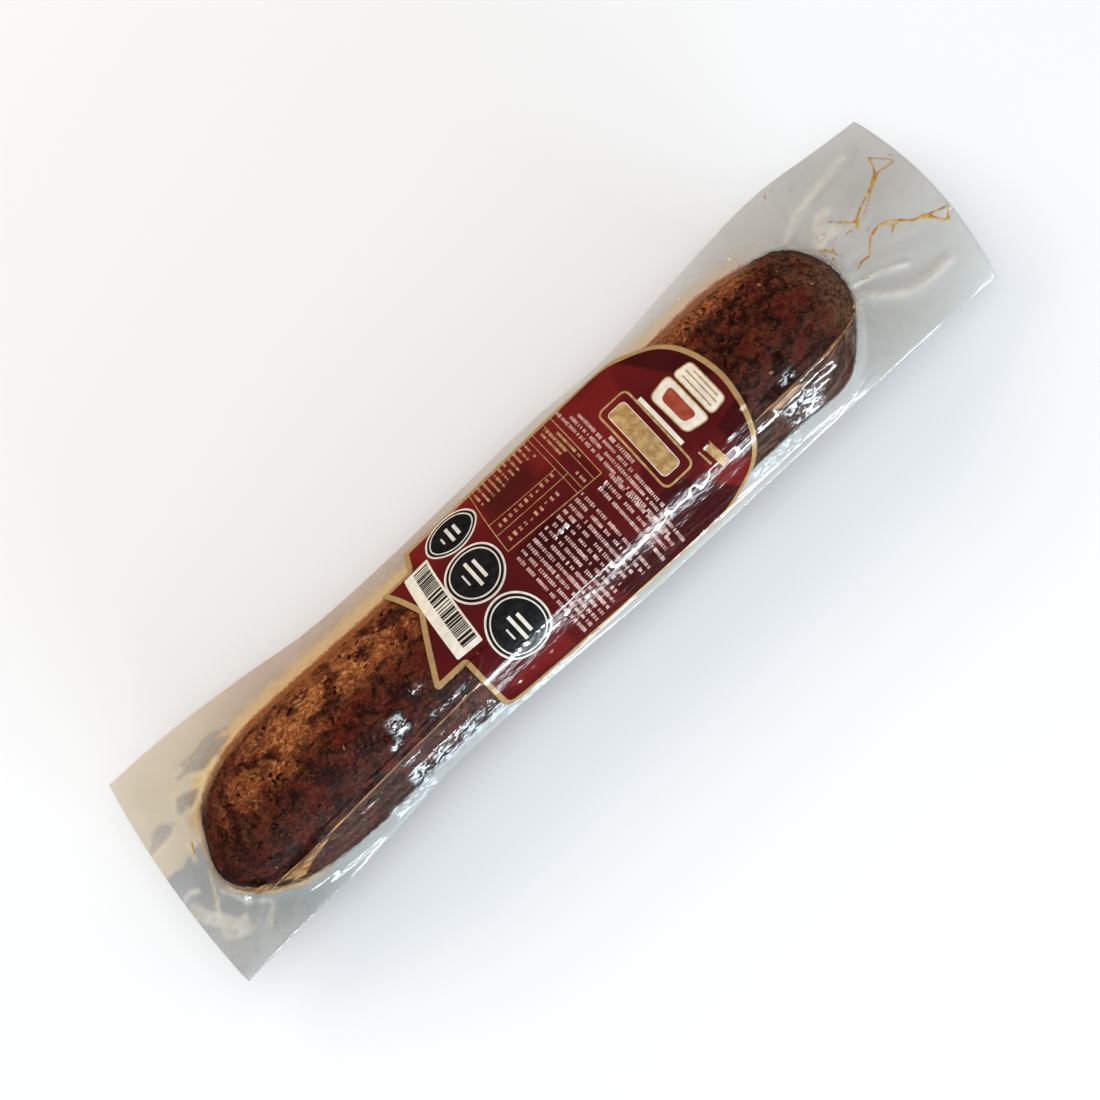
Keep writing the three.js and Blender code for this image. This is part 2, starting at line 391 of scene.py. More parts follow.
def film_ripple(x, around):
    """How far the top film stands off its plain shape: lumps, creases, dents and end pleats."""
    x, around = np.broadcast_arrays(np.asarray(x, float), np.asarray(around, float))
    p = flat_points(x, around)
    s = Section(x, np.where(around < 0, -1.0, 1.0))
    on_sausage = smoothstep(s.rise, 3, 14) * smoothstep(s.arc + 2 - np.abs(around), 0, 6)
    lumps = LUMP_HEIGHT * layered_noise(p, 6, 3, 3) * on_sausage
    low_side = smoothstep(-around, 7, 15) * smoothstep(s.rise, 6, 14)
    bare = 1 - 0.65 * smoothstep(x, -36, -30) * smoothstep(-x, -56, -50)
    creases = CREASE_HEIGHT * bare * layered_noise(p, (14, 2.1, 1), 2, 11) * low_side
    crinkle = smoothstep(-around, 17, 21) * (1 - smoothstep(-around, s.to_weld + 1, s.to_weld + 4))
    facets = FACET_HEIGHT * bare * np.abs(noise(p, (4.2, 2.4, 1), 23)) * low_side * crinkle
    on_web = smoothstep(np.abs(x + 8), 90, 98)
    tip_x = np.where(x > 0, SAUSAGE_HIGH[0] - 6, SAUSAGE_LOW[0] + 8)
    tip_y = np.where(x > 0, 1.0, -1.0)
    bearing = np.arctan2(around - tip_y, np.abs(x - tip_x) + 1)
    distance = np.hypot(around - tip_y, x - tip_x)
    fan = np.stack([bearing * 5.5, distance / 30, np.sign(x)], axis=-1)
    fade = smoothstep(distance, 4, 10) * (1 - smoothstep(distance, 16, 36))
    folds = FAN_HEIGHT * np.abs(layered_noise(fan, 1, 2, 31)) * on_web * fade
    waves = WAVE_HEIGHT * noise(p, (13, 30, 1), 41) * smoothstep(np.abs(around), s.to_weld, s.whole)
    y = film_point(x, around)[..., 1]
    ridges = crease_fold(x, around)
    for height, half_width, points in PLEATS:
        if x.min() - 5 < max(px for px, _ in points) and x.max() + 5 > min(px for px, _ in points):
            near = path_distance(x, y, smooth_path(points)) / half_width
            ridges = ridges + height * np.exp(-near ** 2)
    dented, taken = dents(x, around)
    return dented + (1 - 0.93 * taken) * (lumps + creases + facets + folds + waves + ridges)


# ---- Meshes ----

def mesh_object(name, vertices, faces, smooth=True):
    """A piece from vertices in millimetres and faces."""
    mesh = bpy.data.meshes.new(name)
    mesh.from_pydata((np.asarray(vertices) * MM).tolist(), [], [list(map(int, f)) for f in faces])
    mesh.polygons.foreach_set("use_smooth", [smooth] * len(mesh.polygons))
    mesh.update()
    piece = bpy.data.objects.new(name, mesh)
    bpy.context.scene.collection.objects.link(piece)
    return piece


def grid_faces(rows, columns, first=0, wrap=False):
    """Quads between rows of vertices. wrap joins the last column to the first."""
    row = np.arange(rows - 1)[:, None] * columns
    steps = columns if wrap else columns - 1
    here = np.arange(steps)[None, :]
    beside = (here + 1) % columns
    quads = np.stack([row + here, row + beside, row + columns + beside, row + columns + here], -1)
    return quads.reshape(-1, 4) + first


def slab_faces(rows, columns):
    """A closed slab: a top grid, a bottom grid after it, and the wall round their edge."""
    count = rows * columns
    top = grid_faces(rows, columns)[:, ::-1]
    bottom = grid_faces(rows, columns, count)
    first_row = np.arange(columns)
    last_row = first_row + (rows - 1) * columns
    first_column = np.arange(rows) * columns
    last_column = first_column + columns - 1
    walls = []
    for line, turned in (
        (first_row, False), (last_row, True), (first_column, True), (last_column, False),
    ):
        a, b = line[:-1], line[1:]
        wall = np.stack([a, b, b + count, a + count], -1)
        walls.append(wall[:, ::-1] if turned else wall)
    return np.concatenate([top, bottom, *walls])


def add_float(piece, name, values):
    attribute = piece.data.attributes.new(name, "FLOAT", "POINT")
    attribute.data.foreach_set("value", np.asarray(values, np.float32).ravel())


def linear(red, green, blue):
    """A colour given in the usual 0 to 255 steps, as light."""
    c = np.array([red, green, blue]) / 255
    return np.where(c <= 0.04045, c / 12.92, ((c + 0.055) / 1.055) ** 2.4)


def shape_distance(x, y, corners):
    """How far every place is outside the closed outline, or inside it where negative."""
    px, py = (np.array(c, float) for c in zip(*corners))
    qx, qy = np.roll(px, -1), np.roll(py, -1)
    inside = np.zeros(x.shape, bool)
    for ax, ay, bx, by in zip(px, py, qx, qy):
        crosses = (ay > y) != (by > y)
        at = ax + (y - ay) / (by - ay if by != ay else 1e-9) * (bx - ax)
        inside ^= crosses & (x < at)
    nearest = path_distance(x, y, list(corners) + [corners[0]])
    return np.where(inside, -nearest, nearest)


def sausage_outline():
    """The sausage's outline from above."""
    left, right = SAUSAGE_RADIUS[0][0], SAUSAGE_RADIUS[-1][0]
    t = np.linspace(0, math.pi, 90)
    x = (left + right) / 2 - (right - left) / 2 * np.cos(t)
    radius = np.maximum(smooth_line(SAUSAGE_RADIUS, x), 0)
    centre = smooth_line(CENTRE_LINE, x)
    upper = list(zip(x, centre + radius))
    lower = list(zip(x[::-1], (centre - radius)[::-1]))
    return upper + lower[1:-1]


# ---- Material building ----

def feed(links, socket, value):
    """Links a socket to another one, or sets a plain value on it."""
    if isinstance(value, bpy.types.NodeSocket):
        links.new(value, socket)
    elif socket.type == "RGBA":
        socket.default_value = (*value, 1)
    else:
        socket.default_value = value


class Finish:
    """A material and short calls for the nodes that it is made of."""

    def __init__(self, name):
        self.material = bpy.data.materials.new(name)
        self.material.use_nodes = True
        self.nodes = self.material.node_tree.nodes
        self.links = self.material.node_tree.links
        self.shader = self.nodes["Principled BSDF"]
        self.output = self.nodes["Material Output"]
        self.place = self.add("ShaderNodeTexCoord").outputs["Object"]

    def add(self, kind, **settings):
        node = self.nodes.new(kind)
        for key, value in settings.items():
            setattr(node, key, value)
        return node

    def put(self, socket, value):
        feed(self.links, socket, value)

    def attribute(self, name, output="Fac"):
        return self.add("ShaderNodeAttribute", attribute_name=name).outputs[output]

    def axis(self, name):
        """The place along one axis, in millimetres."""
        split = self.add("ShaderNodeSeparateXYZ")
        self.put(split.inputs[0], self.place)
        return self.maths("DIVIDE", split.outputs[name], MM)

    def ragged(self, value, size, amount):
        """A distance made uneven by noise, so that a step on it has a torn edge."""
        wander = self.maths("SUBTRACT", self.noise(size, 4, 0.6), 0.5)
        return self.maths("ADD", value, self.maths("MULTIPLY", wander, amount))

    def product(self, *values):
        total = values[0]
        for value in values[1:]:
            total = self.maths("MULTIPLY", total, value)
        return total

    def moved(self, scale=(1, 1, 1), place=None):
        mapping = self.add("ShaderNodeMapping")
        self.put(mapping.inputs["Vector"], place or self.place)
        mapping.inputs["Scale"].default_value = scale
        return mapping.outputs["Vector"]

    def noise(self, size, detail=3, roughness=0.55, stretch=(1, 1, 1), distortion=0.0, place=None):
        """Noise with lumps about size millimetres across, longer where stretch is above 1."""
        node = self.add("ShaderNodeTexNoise")
        scale = [1 / (size * MM * s) for s in stretch]
        self.put(node.inputs["Vector"], self.moved(scale, place))
        node.inputs["Scale"].default_value = 1
        node.inputs["Detail"].default_value = detail
        node.inputs["Roughness"].default_value = roughness
        node.inputs["Distortion"].default_value = distortion
        return node.outputs["Fac"]

    def step(self, value, low, high):
        """0 below low, 1 above high and smooth between."""
        node = self.add("ShaderNodeMapRange", interpolation_type="SMOOTHSTEP")
        self.put(node.inputs["Value"], value)
        node.inputs["From Min"].default_value = low
        node.inputs["From Max"].default_value = high
        return node.outputs["Result"]

    def range(self, value, low, high, to_low, to_high):
        node = self.add("ShaderNodeMapRange")
        self.put(node.inputs["Value"], value)
        for key, number in (
            ("From Min", low), ("From Max", high), ("To Min", to_low), ("To Max", to_high),
        ):
            node.inputs[key].default_value = number
        return node.outputs["Result"]

    def maths(self, operation, a, b=0.0):
        node = self.add("ShaderNodeMath", operation=operation)
        self.put(node.inputs[0], a)
        self.put(node.inputs[1], b)
        return node.outputs[0]

    def mix(self, share, a, b):
        node = self.add("ShaderNodeMix", data_type="RGBA")
        self.put(node.inputs["Factor"], share)
        self.put(node.inputs[6], a)
        self.put(node.inputs[7], b)
        return node.outputs[2]

    def bump(self, height, depth):
        """A bump depth millimetres deep where height goes from 0 to 1."""
        node = self.add("ShaderNodeBump")
        self.put(node.inputs["Height"], height)
        node.inputs["Distance"].default_value = depth * MM
        self.links.new(node.outputs["Normal"], self.shader.inputs["Normal"])

    def see_through(self, share):
        """Lets what is behind show by 1 minus share."""
        clear = self.add("ShaderNodeBsdfTransparent")
        blend = self.add("ShaderNodeMixShader")
        self.put(blend.inputs["Fac"], share)
        self.links.new(clear.outputs[0], blend.inputs[1])
        self.links.new(self.shader.outputs[0], blend.inputs[2])
        self.links.new(blend.outputs[0], self.output.inputs["Surface"])


# ---- Camera, floor and lights ----

VIEW_TURN = math.radians(42.53)
VIEW_WIDTH = 252.7
VIEW_DISTANCE = 1000.0
VIEW_RIGHT = -0.5
VIEW_UP = -2.1


def make_camera():
    """Looks straight down, turned so that the pack rises towards the upper right."""
    data = bpy.data.cameras.new("camera")
    data.sensor_width = 36
    data.lens = data.sensor_width * VIEW_DISTANCE / VIEW_WIDTH
    data.clip_end = 20
    camera = bpy.data.objects.new("camera", data)
    right = np.array([math.cos(VIEW_TURN), -math.sin(VIEW_TURN)])
    up = np.array([math.sin(VIEW_TURN), math.cos(VIEW_TURN)])
    x, y = VIEW_RIGHT * right + VIEW_UP * up
    camera.location = (x * MM, y * MM, (AXIS_Z + VIEW_DISTANCE) * MM)
    camera.rotation_euler = (0, 0, -VIEW_TURN)
    bpy.context.scene.collection.objects.link(camera)
    bpy.context.scene.camera = camera


FLOOR_HALF = 1600


def make_floor():
    """A wide pale floor at the height of the pack's underside."""
    corners = [(a * FLOOR_HALF, b * FLOOR_HALF, 0) for a, b in ((-1, -1), (1, -1), (1, 1), (-1, 1))]
    floor = mesh_object("floor", corners, [(0, 1, 2, 3)], smooth=False)
    pale = Finish("pale_floor")
    tone = pale.mix(pale.noise(260, 2), (0.9, 0.925, 0.955), (0.925, 0.95, 0.98))
    pale.put(pale.shader.inputs["Base Color"], tone)
    pale.shader.inputs["Roughness"].default_value = 0.8
    floor.data.materials.append(pale.material)
    floor.visible_glossy = False


def make_area_light(name, place, size, power, colour, seen_in_gloss):
    """A soft box that faces the pack. Only the window box leaves highlights in the film."""
    data = bpy.data.lights.new(name, "AREA")
    data.shape = "RECTANGLE"
    data.size, data.size_y = size
    data.energy = power
    data.color = colour
    light = bpy.data.objects.new(name, data)
    light.location = place
    aim = Vector((0, 0, 0.02)) - Vector(place)
    light.rotation_euler = aim.to_track_quat("-Z", "Y").to_euler()
    light.visible_glossy = seen_in_gloss
    bpy.context.scene.collection.objects.link(light)


# Soft boxes: (name, place, size, power, colour, seen in gloss).
LIGHTS = [
    ("overhead", (0.1, 0.25, 1.5), (1.2, 1.2), 7.6, (1, 0.985, 0.97), False),
    ("warm_side", (-0.35, 0.9, 0.6), (0.8, 0.5), 6, (1, 0.86, 0.7), False),
    ("window", WINDOW_PLACE, (0.8, 0.045), 7.6, (0.82, 0.94, 1), True),
]


def make_lights():
    """An even pale studio with three soft boxes."""
    world = bpy.data.worlds.new("studio")
    world.use_nodes = True
    world.node_tree.nodes["Background"].inputs["Color"].default_value = (0.97, 0.98, 1, 1)
    world.node_tree.nodes["Background"].inputs["Strength"].default_value = 0.5
    bpy.context.scene.world = world
    world.cycles_visibility.glossy = False
    for light in LIGHTS:
        make_area_light(*light)
    bpy.context.scene.view_settings.view_transform = "Standard"


# ---- Sausage ----

SAUSAGE_RINGS = 370
SAUSAGE_SIDES = 236


CRUST_LUMPS = 0.3
CRUST_CRUMBS = 0.34
PIT_DEPTH = 0.55
CRUST_LOWEST = -1.1
CRUST_HIGHEST = 0.42


def crust_relief(points):
    """How far the crust stands in or out, in millimetres: lumps, crumbs and pits."""
    lumps = CRUST_LUMPS * layered_noise(points, 8, 2, 5)
    crumbs = CRUST_CRUMBS * layered_noise(points, 2.4, 3, 7)
    pits = -PIT_DEPTH * smoothstep(noise(points, (4.4, 2.6, 2.6), 13), 0.4, 0.8)
    return np.clip(lumps + crumbs + pits, CRUST_LOWEST, CRUST_HIGHEST)


def make_sausage():
    """One closed body: rings of vertices between two pole vertices."""
    px, pr = (np.array(c, float) for c in zip(*SAUSAGE_RADIUS))
    # The outline is followed by its own length, so that the blunt ends get as many rings as they need.
    along = np.concatenate([[0], np.cumsum(np.hypot(np.diff(px), np.diff(pr)))])
    at = np.linspace(0, along[-1], SAUSAGE_RINGS + 2)[1:-1]
    x = smooth_line(list(zip(along, px)), at)
    radius = smooth_line(list(zip(along, pr)), at)
    turn = np.arange(SAUSAGE_SIDES) / SAUSAGE_SIDES * 2 * math.pi
    ring = np.stack([np.zeros_like(turn), np.sin(turn), np.cos(turn)], -1)
    core = np.stack([x, np.zeros_like(x), np.zeros_like(x)], -1)
    body = core[:, None, :] + radius[:, None, None] * ring[None, :, :]
    slope = np.gradient(radius, at)
    outward = ring[None, :, :] * np.sqrt(np.clip(1 - slope ** 2, 0, 1))[:, None, None]
    outward = outward - np.array([1.0, 0, 0]) * np.clip(slope, -1, 1)[:, None, None]
    relief = crust_relief(body)
    body = body + outward * relief[..., None]
    body[..., 1] += smooth_line(CENTRE_LINE, body[..., 0])
    body[..., 2] = np.maximum(body[..., 2], -BELLY + 0.06 * relief) + AXIS_Z
    poles = np.array([
        [px[0] + 0.25, smooth_line(CENTRE_LINE, px[0]), AXIS_Z],
        [px[-1] - 0.25, smooth_line(CENTRE_LINE, px[-1]), AXIS_Z],
    ])
    vertices = np.concatenate([body.reshape(-1, 3), poles])
    start, end = len(vertices) - 2, len(vertices) - 1
    here = np.arange(SAUSAGE_SIDES)
    beside = (here + 1) % SAUSAGE_SIDES
    last = (SAUSAGE_RINGS - 1) * SAUSAGE_SIDES
    faces = list(grid_faces(SAUSAGE_RINGS, SAUSAGE_SIDES, wrap=True))
    faces += [(start, b, a) for a, b in zip(here, beside)]
    faces += [(end, last + a, last + b) for a, b in zip(here, beside)]
    piece = mesh_object("crusted_sausage", vertices, faces)
    x, y = vertices[:, 0], vertices[:, 1]
    add_float(piece, "tan", shape_distance(x, y, TAN_PATCH))
    add_float(piece, "side_tan", shape_distance(x, y, SIDE_TAN_PATCH))
    piece.data.materials.append(crust_finish())
    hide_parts("sausage")
    return piece


# Where the pale fat shows through the crust, seen from above.
TAN_PATCH = [
    (-84, 4), (-80, 10), (-72, 13.5), (-62, 15), (-48, 14.6), (-38, 13), (-33, 8), (-38, 5.4),
    (-50, 6), (-60, 7), (-70, 4), (-78, 2),
]
SIDE_TAN_PATCH = [(-98, 4), (-92, 10), (-80, 14), (-76, 11), (-86, 4), (-94, -2)]


def crust_finish():
    """Dark red-brown paprika crust with orange fibre, tan fat and black pepper, painted lighter towards
    the upper side, with painted highlights on the fat's fibres.
    """
    f = Finish("paprika_crust")
    black, dark, brown = linear(24, 9, 6), linear(52, 19, 11), linear(104, 42, 20)
    orange, tan, fat, deep_red = (
        linear(160, 80, 32), linear(184, 98, 44), linear(232, 168, 98), linear(104, 19, 10))
    grey_brown = linear(160, 118, 78)
    x, y = f.axis("X"), f.axis("Y")
    broad, grain, fine = f.noise(6, 4, 0.6), f.noise(1.5, 5, 0.65), f.noise(0.55, 4, 0.7)
    clots = f.noise(3.8, 4, 0.55, distortion=1.0)
    shadows = f.noise(7.5, 4, 0.6, distortion=0.8)
    speck = f.noise(0.9, 5, 0.72, distortion=0.5)
    # Towards the upper side the crust gets more brown clots, orange specks and loose fat: partly its own
    # colour, partly a painted lighter upper side where the warm light falls.
    upper_side = f.range(f.ragged(y, 8, 8), -12, 13, 0.12, 1.0)
    base = f.mix(f.step(grain, 0.34, 0.64), black, dark)
    base = f.mix(f.product(f.step(clots, 0.46, 0.58), f.range(y, -14, 10, 0.5, 0.95)), base, brown)
    red_spots = f.step(f.noise(4.6, 4, 0.6, stretch=(1.3, 1, 1), distortion=0.3), 0.5, 0.62)
    base = f.mix(f.product(red_spots, 0.75), base, deep_red)
    orange_share = f.product(
        f.step(speck, 0.48, 0.66), f.range(upper_side, 0, 1, 0.22, 0.8), f.range(x, 30, 60, 1, 0.72))
    base = f.mix(orange_share, base, orange)
    brushed = f.noise(1.0, 5, 0.7, stretch=(1.9, 1, 1), distortion=1.6)
    near_tan = f.step(f.ragged(f.attribute("tan"), 6, 15), 4, -2)
    near_side_tan = f.product(f.step(f.ragged(f.attribute("side_tan"), 5, 12), 4, -3), 0.55)
    tan_zone = f.product(f.maths("MAXIMUM", near_tan, near_side_tan), f.step(broad, 0.4, 0.54))
    base = f.mix(f.product(tan_zone, f.range(brushed, 0.35, 0.6, 0.3, 0.9)), base, tan)
    # Pale fat along the brushed fibres, brightened into painted highlights on the fibres.
    base = f.mix(f.product(tan_zone, f.step(brushed, 0.5, 0.64), 0.95), base, fat)
    loose_fat = f.product(f.step(brushed, 0.6, 0.72), f.step(f.noise(8, 3), 0.5, 0.62), upper_side)
    base = f.mix(f.product(loose_fat, 0.7), base, fat)
    base = f.mix(f.product(f.step(shadows, 0.52, 0.64), 0.66), base, linear(36, 14, 9))
    worn = f.product(
        f.step(f.ragged(x, 5, 16), 74, 92), f.step(brushed, 0.44, 0.57), f.step(broad, 0.3, 0.46))
    base = f.mix(f.product(worn, 0.85), base, grey_brown)
    pits = f.step(f.noise(3.0, 5, 0.65, stretch=(1.4, 1, 1), distortion=0.5), 0.56, 0.66)
    base = f.mix(f.product(pits, 0.75), base, linear(26, 11, 8))
    edge_fat = f.product(f.step(f.ragged(y, 3, 5), 12.6, 16), f.step(speck, 0.36, 0.6), f.step(x, 84, 68))
    base = f.mix(f.product(edge_fat, 0.85), base, linear(206, 122, 58))
    base = f.mix(f.product(f.step(fine, 0.54, 0.72), 0.32), base, black)
    base = f.mix(f.product(f.step(f.noise(2.4, 5, 0.7), 0.61, 0.68), 0.8), base, linear(18, 13, 12))
    f.put(f.shader.inputs["Base Color"], base)
    f.put(f.shader.inputs["Roughness"], f.range(speck, 0.3, 0.7, 0.8, 0.45))
    f.shader.inputs["Specular IOR Level"].default_value = 0.4
    height = f.maths("ADD", f.product(grain, 0.6), f.product(fine, 0.4))
    f.bump(height, 0.5)
    return f.material


# ---- Crumbs of pepper, herb and fat on the crust ----

class Tree:
    """A Geometry Nodes tree with named inputs, given as (name, socket type), and short calls."""

    def __init__(self, name, inputs):
        self.tree = bpy.data.node_groups.new(name, "GeometryNodeTree")
        add_socket = self.tree.interface.new_socket
        for label, kind in [("Geometry", "NodeSocketGeometry")] + inputs:
            add_socket(label, in_out="INPUT", socket_type=kind)
        add_socket("Geometry", in_out="OUTPUT", socket_type="NodeSocketGeometry")
        self.given = self.tree.nodes.new("NodeGroupInput").outputs
        self.end = self.tree.nodes.new("NodeGroupOutput").inputs

    def add(self, kind, values=None, **settings):
        node = self.tree.nodes.new(kind)
        for key, value in settings.items():
            setattr(node, key, value)
        for key, value in (values or {}).items():
            feed(self.tree.links, node.inputs[key], value)
        return node

    def maths(self, operation, a, b=0.0):
        return self.add("ShaderNodeMath", {0: a, 1: b}, operation=operation).outputs[0]

    def random(self, low, high, seed, kind="FLOAT", extra=None):
        first, last, result = {"FLOAT_VECTOR": (0, 1, 0), "FLOAT": (2, 3, 1)}[kind]
        values = {first: low, last: high, "Seed": seed}
        if extra is not None:
            values["ID"] = extra
        return self.add("FunctionNodeRandomValue", values, data_type=kind).outputs[result]

    def finish(self, instances, material):
        real = self.add("GeometryNodeRealizeInstances", {"Geometry": instances})
        dressed = self.add(
            "GeometryNodeSetMaterial", {"Geometry": real.outputs[0], "Material": material})
        self.tree.links.new(dressed.outputs[0], self.end["Geometry"])


def run_tree(tree, values, source):
    """The plain mesh that the tree makes from a source mesh or curve, with its named inputs set."""
    carrier = bpy.data.objects.new("carrier", source)
    bpy.context.scene.collection.objects.link(carrier)
    modifier = carrier.modifiers.new("rule", "NODES")
    modifier.node_group = tree
    for item in tree.interface.items_tree:
        if item.in_out == "INPUT" and item.name in values:
            modifier[item.identifier] = values[item.name]
    depsgraph = bpy.context.evaluated_depsgraph_get()
    depsgraph.update()
    result = bpy.data.meshes.new_from_object(carrier.evaluated_get(depsgraph))
    carrier.modifiers.remove(modifier)
    bpy.data.objects.remove(carrier)
    return result


def crumb_tree():
    """Lumps strewn over a surface, each turned and stretched its own way."""
    t = Tree("strewn_crumbs", [
        ("Per square metre", "NodeSocketFloat"), ("Crumb size", "NodeSocketFloat"),
        ("Seed", "NodeSocketInt"), ("Material", "NodeSocketMaterial"),
    ])
    points = t.add("GeometryNodeDistributePointsOnFaces", {
        "Mesh": t.given["Geometry"], "Density": t.given["Per square metre"],
        "Seed": t.given["Seed"],
    })
    lump = t.add("GeometryNodeMeshIcoSphere", {"Radius": t.given["Crumb size"], "Subdivisions": 1})
    turned = t.add("FunctionNodeRotateRotation", {
        0: points.outputs["Rotation"],
        1: t.random((0, 0, -3.1), (0, 0, 3.1), 5, "FLOAT_VECTOR"),
    }, rotation_space="LOCAL")
    stretch = t.random((0.6, 0.25, 0.18), (1.7, 0.9, 0.42), 9, "FLOAT_VECTOR")
    placed = t.add("GeometryNodeInstanceOnPoints", {
        "Points": points.outputs["Points"], "Instance": lump.outputs["Mesh"],
        "Rotation": turned.outputs[0], "Scale": stretch,
    })
    kept = t.add("GeometryNodeStoreNamedAttribute", {
        "Geometry": placed.outputs["Instances"], "Name": "own_tone",
        "Value": t.random(0.0, 1.0, 21),
    }, data_type="FLOAT", domain="INSTANCE")
    t.finish(kept.outputs["Geometry"], t.given["Material"])
    return t.tree


def crumb_finish():
    """Each crumb has a tone of its own: black, dark red, brown or tan."""
    f = Finish("pepper_and_fat_crumbs")
    tone = f.attribute("own_tone")
    base = f.mix(f.step(tone, 0.42, 0.44), linear(24, 19, 18), linear(70, 24, 14))
    base = f.mix(f.step(tone, 0.64, 0.66), base, linear(112, 52, 24))
    base = f.mix(f.step(tone, 0.93, 0.94), base, linear(184, 128, 76))
    base = f.mix(f.product(f.step(f.noise(0.5, 3), 0.45, 0.65), 0.4), base, linear(30, 14, 10))
    f.put(f.shader.inputs["Base Color"], base)
    f.shader.inputs["Roughness"].default_value = 0.6
    f.bump(f.noise(0.35, 3), 0.09)
    return f.material


CRUMBS_PER_SQUARE_METRE = 62000.0
CRUMB_SIZE = 0.62
CRUMB_SEED = 4


def make_crumbs(sausage):
    """Crumbs strewn all over the crust."""
    mesh = run_tree(crumb_tree(), {
        "Per square metre": CRUMBS_PER_SQUARE_METRE, "Crumb size": CRUMB_SIZE * MM,
        "Seed": CRUMB_SEED, "Material": crumb_finish(),
    }, sausage.data.copy())
    piece = bpy.data.objects.new("crust_crumbs", mesh)
    bpy.context.scene.collection.objects.link(piece)
    mesh.polygons.foreach_set("use_smooth", [True] * len(mesh.polygons))
    return piece


# ---- Films ----

DOME_SHARE = 0.8


def film_grid(rings, columns):
    """Places over the film as x and the length round it."""
    even = np.linspace(-HALF_LENGTH, HALF_LENGTH, 2000)
    dense_at = 1 + 2 * np.exp(-((even + 107) / 5) ** 2) + 2 * np.exp(-((even - 89) / 5) ** 2)
    reached = np.concatenate([[0], np.cumsum(dense_at[1:] + dense_at[:-1])])
    x = np.interp(np.linspace(0, reached[-1], rings), reached, even)
    v = np.linspace(-1, 1, columns)
    x, v = np.meshgrid(x, v, indexing="ij")
    s = Section(x, np.where(v < 0, -1.0, 1.0))
    dome = s.to_weld * np.minimum(np.abs(v) / DOME_SHARE, 1)
    flange = s.flange * np.maximum(np.abs(v) - DOME_SHARE, 0) / (1 - DOME_SHARE)
    return x, np.sign(v) * (dome + flange)


# Shaded hollows beside the folds of the left web.
HOLLOWS = [
    [(-101, 18.2), (-89, 18.9), (-84, 17.2), (-90, 15.6), (-94.6, 14.7), (-97, 16.4)],
    [(-106.2, 11.6), (-103.5, 14.7), (-99, 13.4), (-97.5, 12.2), (-101.5, 10.8)],
    [(-116.8, 9.2), (-113.5, 12.2), (-110.5, 13), (-107.2, 10.2), (-110.6, 9.4)],
    [(-98, 19.6), (-88, 20.6), (-84, 19), (-92, 18.6)],
]
# Yellow rims of fat beside the hollows: (half width, points).
YELLOW_RIMS = [
    (0.4, [(-117, 8.2), (-113, 8.6), (-109.4, 9.4), (-106.4, 11)]),
    (0.45, [(-110, 1.5), (-109, 4.6), (-106.4, 8.4), (-103.2, 11.2)]),
    (0.4, [(-105.4, 10.4), (-101.4, 10.4), (-97.4, 12.4), (-94.8, 14)]),
    (0.5, [(-104, 15.4), (-98, 16.6), (-94.4, 14.8), (-90, 15.2)]),
    (0.25, [(-109.2, -2.8), (-111.4, -6.8), (-114.2, -11.6)]),
    (0.25, [(-108.4, -8.6), (-105.4, -12)]),
]
# Milky folds: (half width, points).
MILKY = [
    (0.75, [(86, 14.2), (92, 17), (99, 18.5), (109, 19.4)]),
    (0.8, [(90, -6), (95.7, -10.8), (100.3, -13.3), (106.1, -14.1), (112, -13.9)]),
    (0.4, [(90, -3.5), (97, -5.6), (103, -8.6)]),
    (1.7, [(-117.8, -7.4), (-116, -11.4), (-113.4, -15), (-112, -17.6)]),
    (0.7, [(-119, -8.6), (-115.4, -12.6), (-116.2, -16.6), (-111.4, -18.6), (-110.4, -16)]),
    (0.6, [(-118.6, -4.2), (-116, -3.2), (-114.5, -4.2)]),
    (0.5, [(-110, -8), (-107, -14), (-103.5, -17.6), (-107.5, -21)]),
    (1.5, [(91.4, 9), (93.5, 9.8), (96, 8.6)]),
    (0.8, [(93, 12), (95, 13.4), (98, 13)]),
]


def nearest_path(x, y, paths):
    """How far every place is outside the nearest band, or inside it where negative."""
    return np.min([path_distance(x, y, smooth_path(line)) - half for half, line in paths], axis=0)


def nearest_shape(x, y, shapes):
    """How far every place is outside the nearest outline, or inside it where negative."""
    return np.min([shape_distance(x, y, corners) for corners in shapes], axis=0)


def make_film(name, node, side, rings, columns):
    """One web of film: a closed slab that knows how far each place is from crust and creases."""
    x, around = film_grid(rings, columns)
    ripple = film_ripple(x, around)
    if side > 0:
        top = film_point(x, around, FILM / 2 + ripple)
        bottom = film_point(x, around, -FILM / 2 + ripple)
    else:
        to_weld = Section(x, np.sign(around)).to_weld
        lift = -ripple * smoothstep(np.abs(around), to_weld - 3, to_weld)
        top = film_point(x, around, -FILM / 2 + lift, -1)
        bottom = film_point(x, around, FILM / 2 + lift, -1)
        bottom[..., 2] = np.maximum(bottom[..., 2], 0)
        top[..., 2] = np.maximum(top[..., 2], bottom[..., 2] + FILM)
    vertices = np.concatenate([top.reshape(-1, 3), bottom.reshape(-1, 3)])
    piece = mesh_object(name, vertices, slab_faces(rings, columns))
    px, y = top[..., 0], top[..., 1]
    far = np.full(x.shape, 9.0)
    facts = {
        "shore": shape_distance(px, y, sausage_outline()), "past_crease": -far, "hollow": far,
        "milky": far, "yellow_rim": far, "crinkle": 0 * far,
    }
    if side > 0:
        facts.update({
            "past_crease": smooth_line(CREASE, x) - y, "hollow": nearest_shape(px, y, HOLLOWS),
            "milky": nearest_path(px, y, MILKY), "yellow_rim": nearest_path(px, y, YELLOW_RIMS),
            "crinkle": crinkled(px, y),
        })
    for key, values in facts.items():
        add_float(piece, key, np.concatenate([values.ravel()] * 2))
    outer, inner = np.ones(x.size), np.full(x.size, 0.05)
    add_float(piece, "outer", np.concatenate([outer, inner] if side > 0 else [inner, outer]))
    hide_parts(node)
    return piece


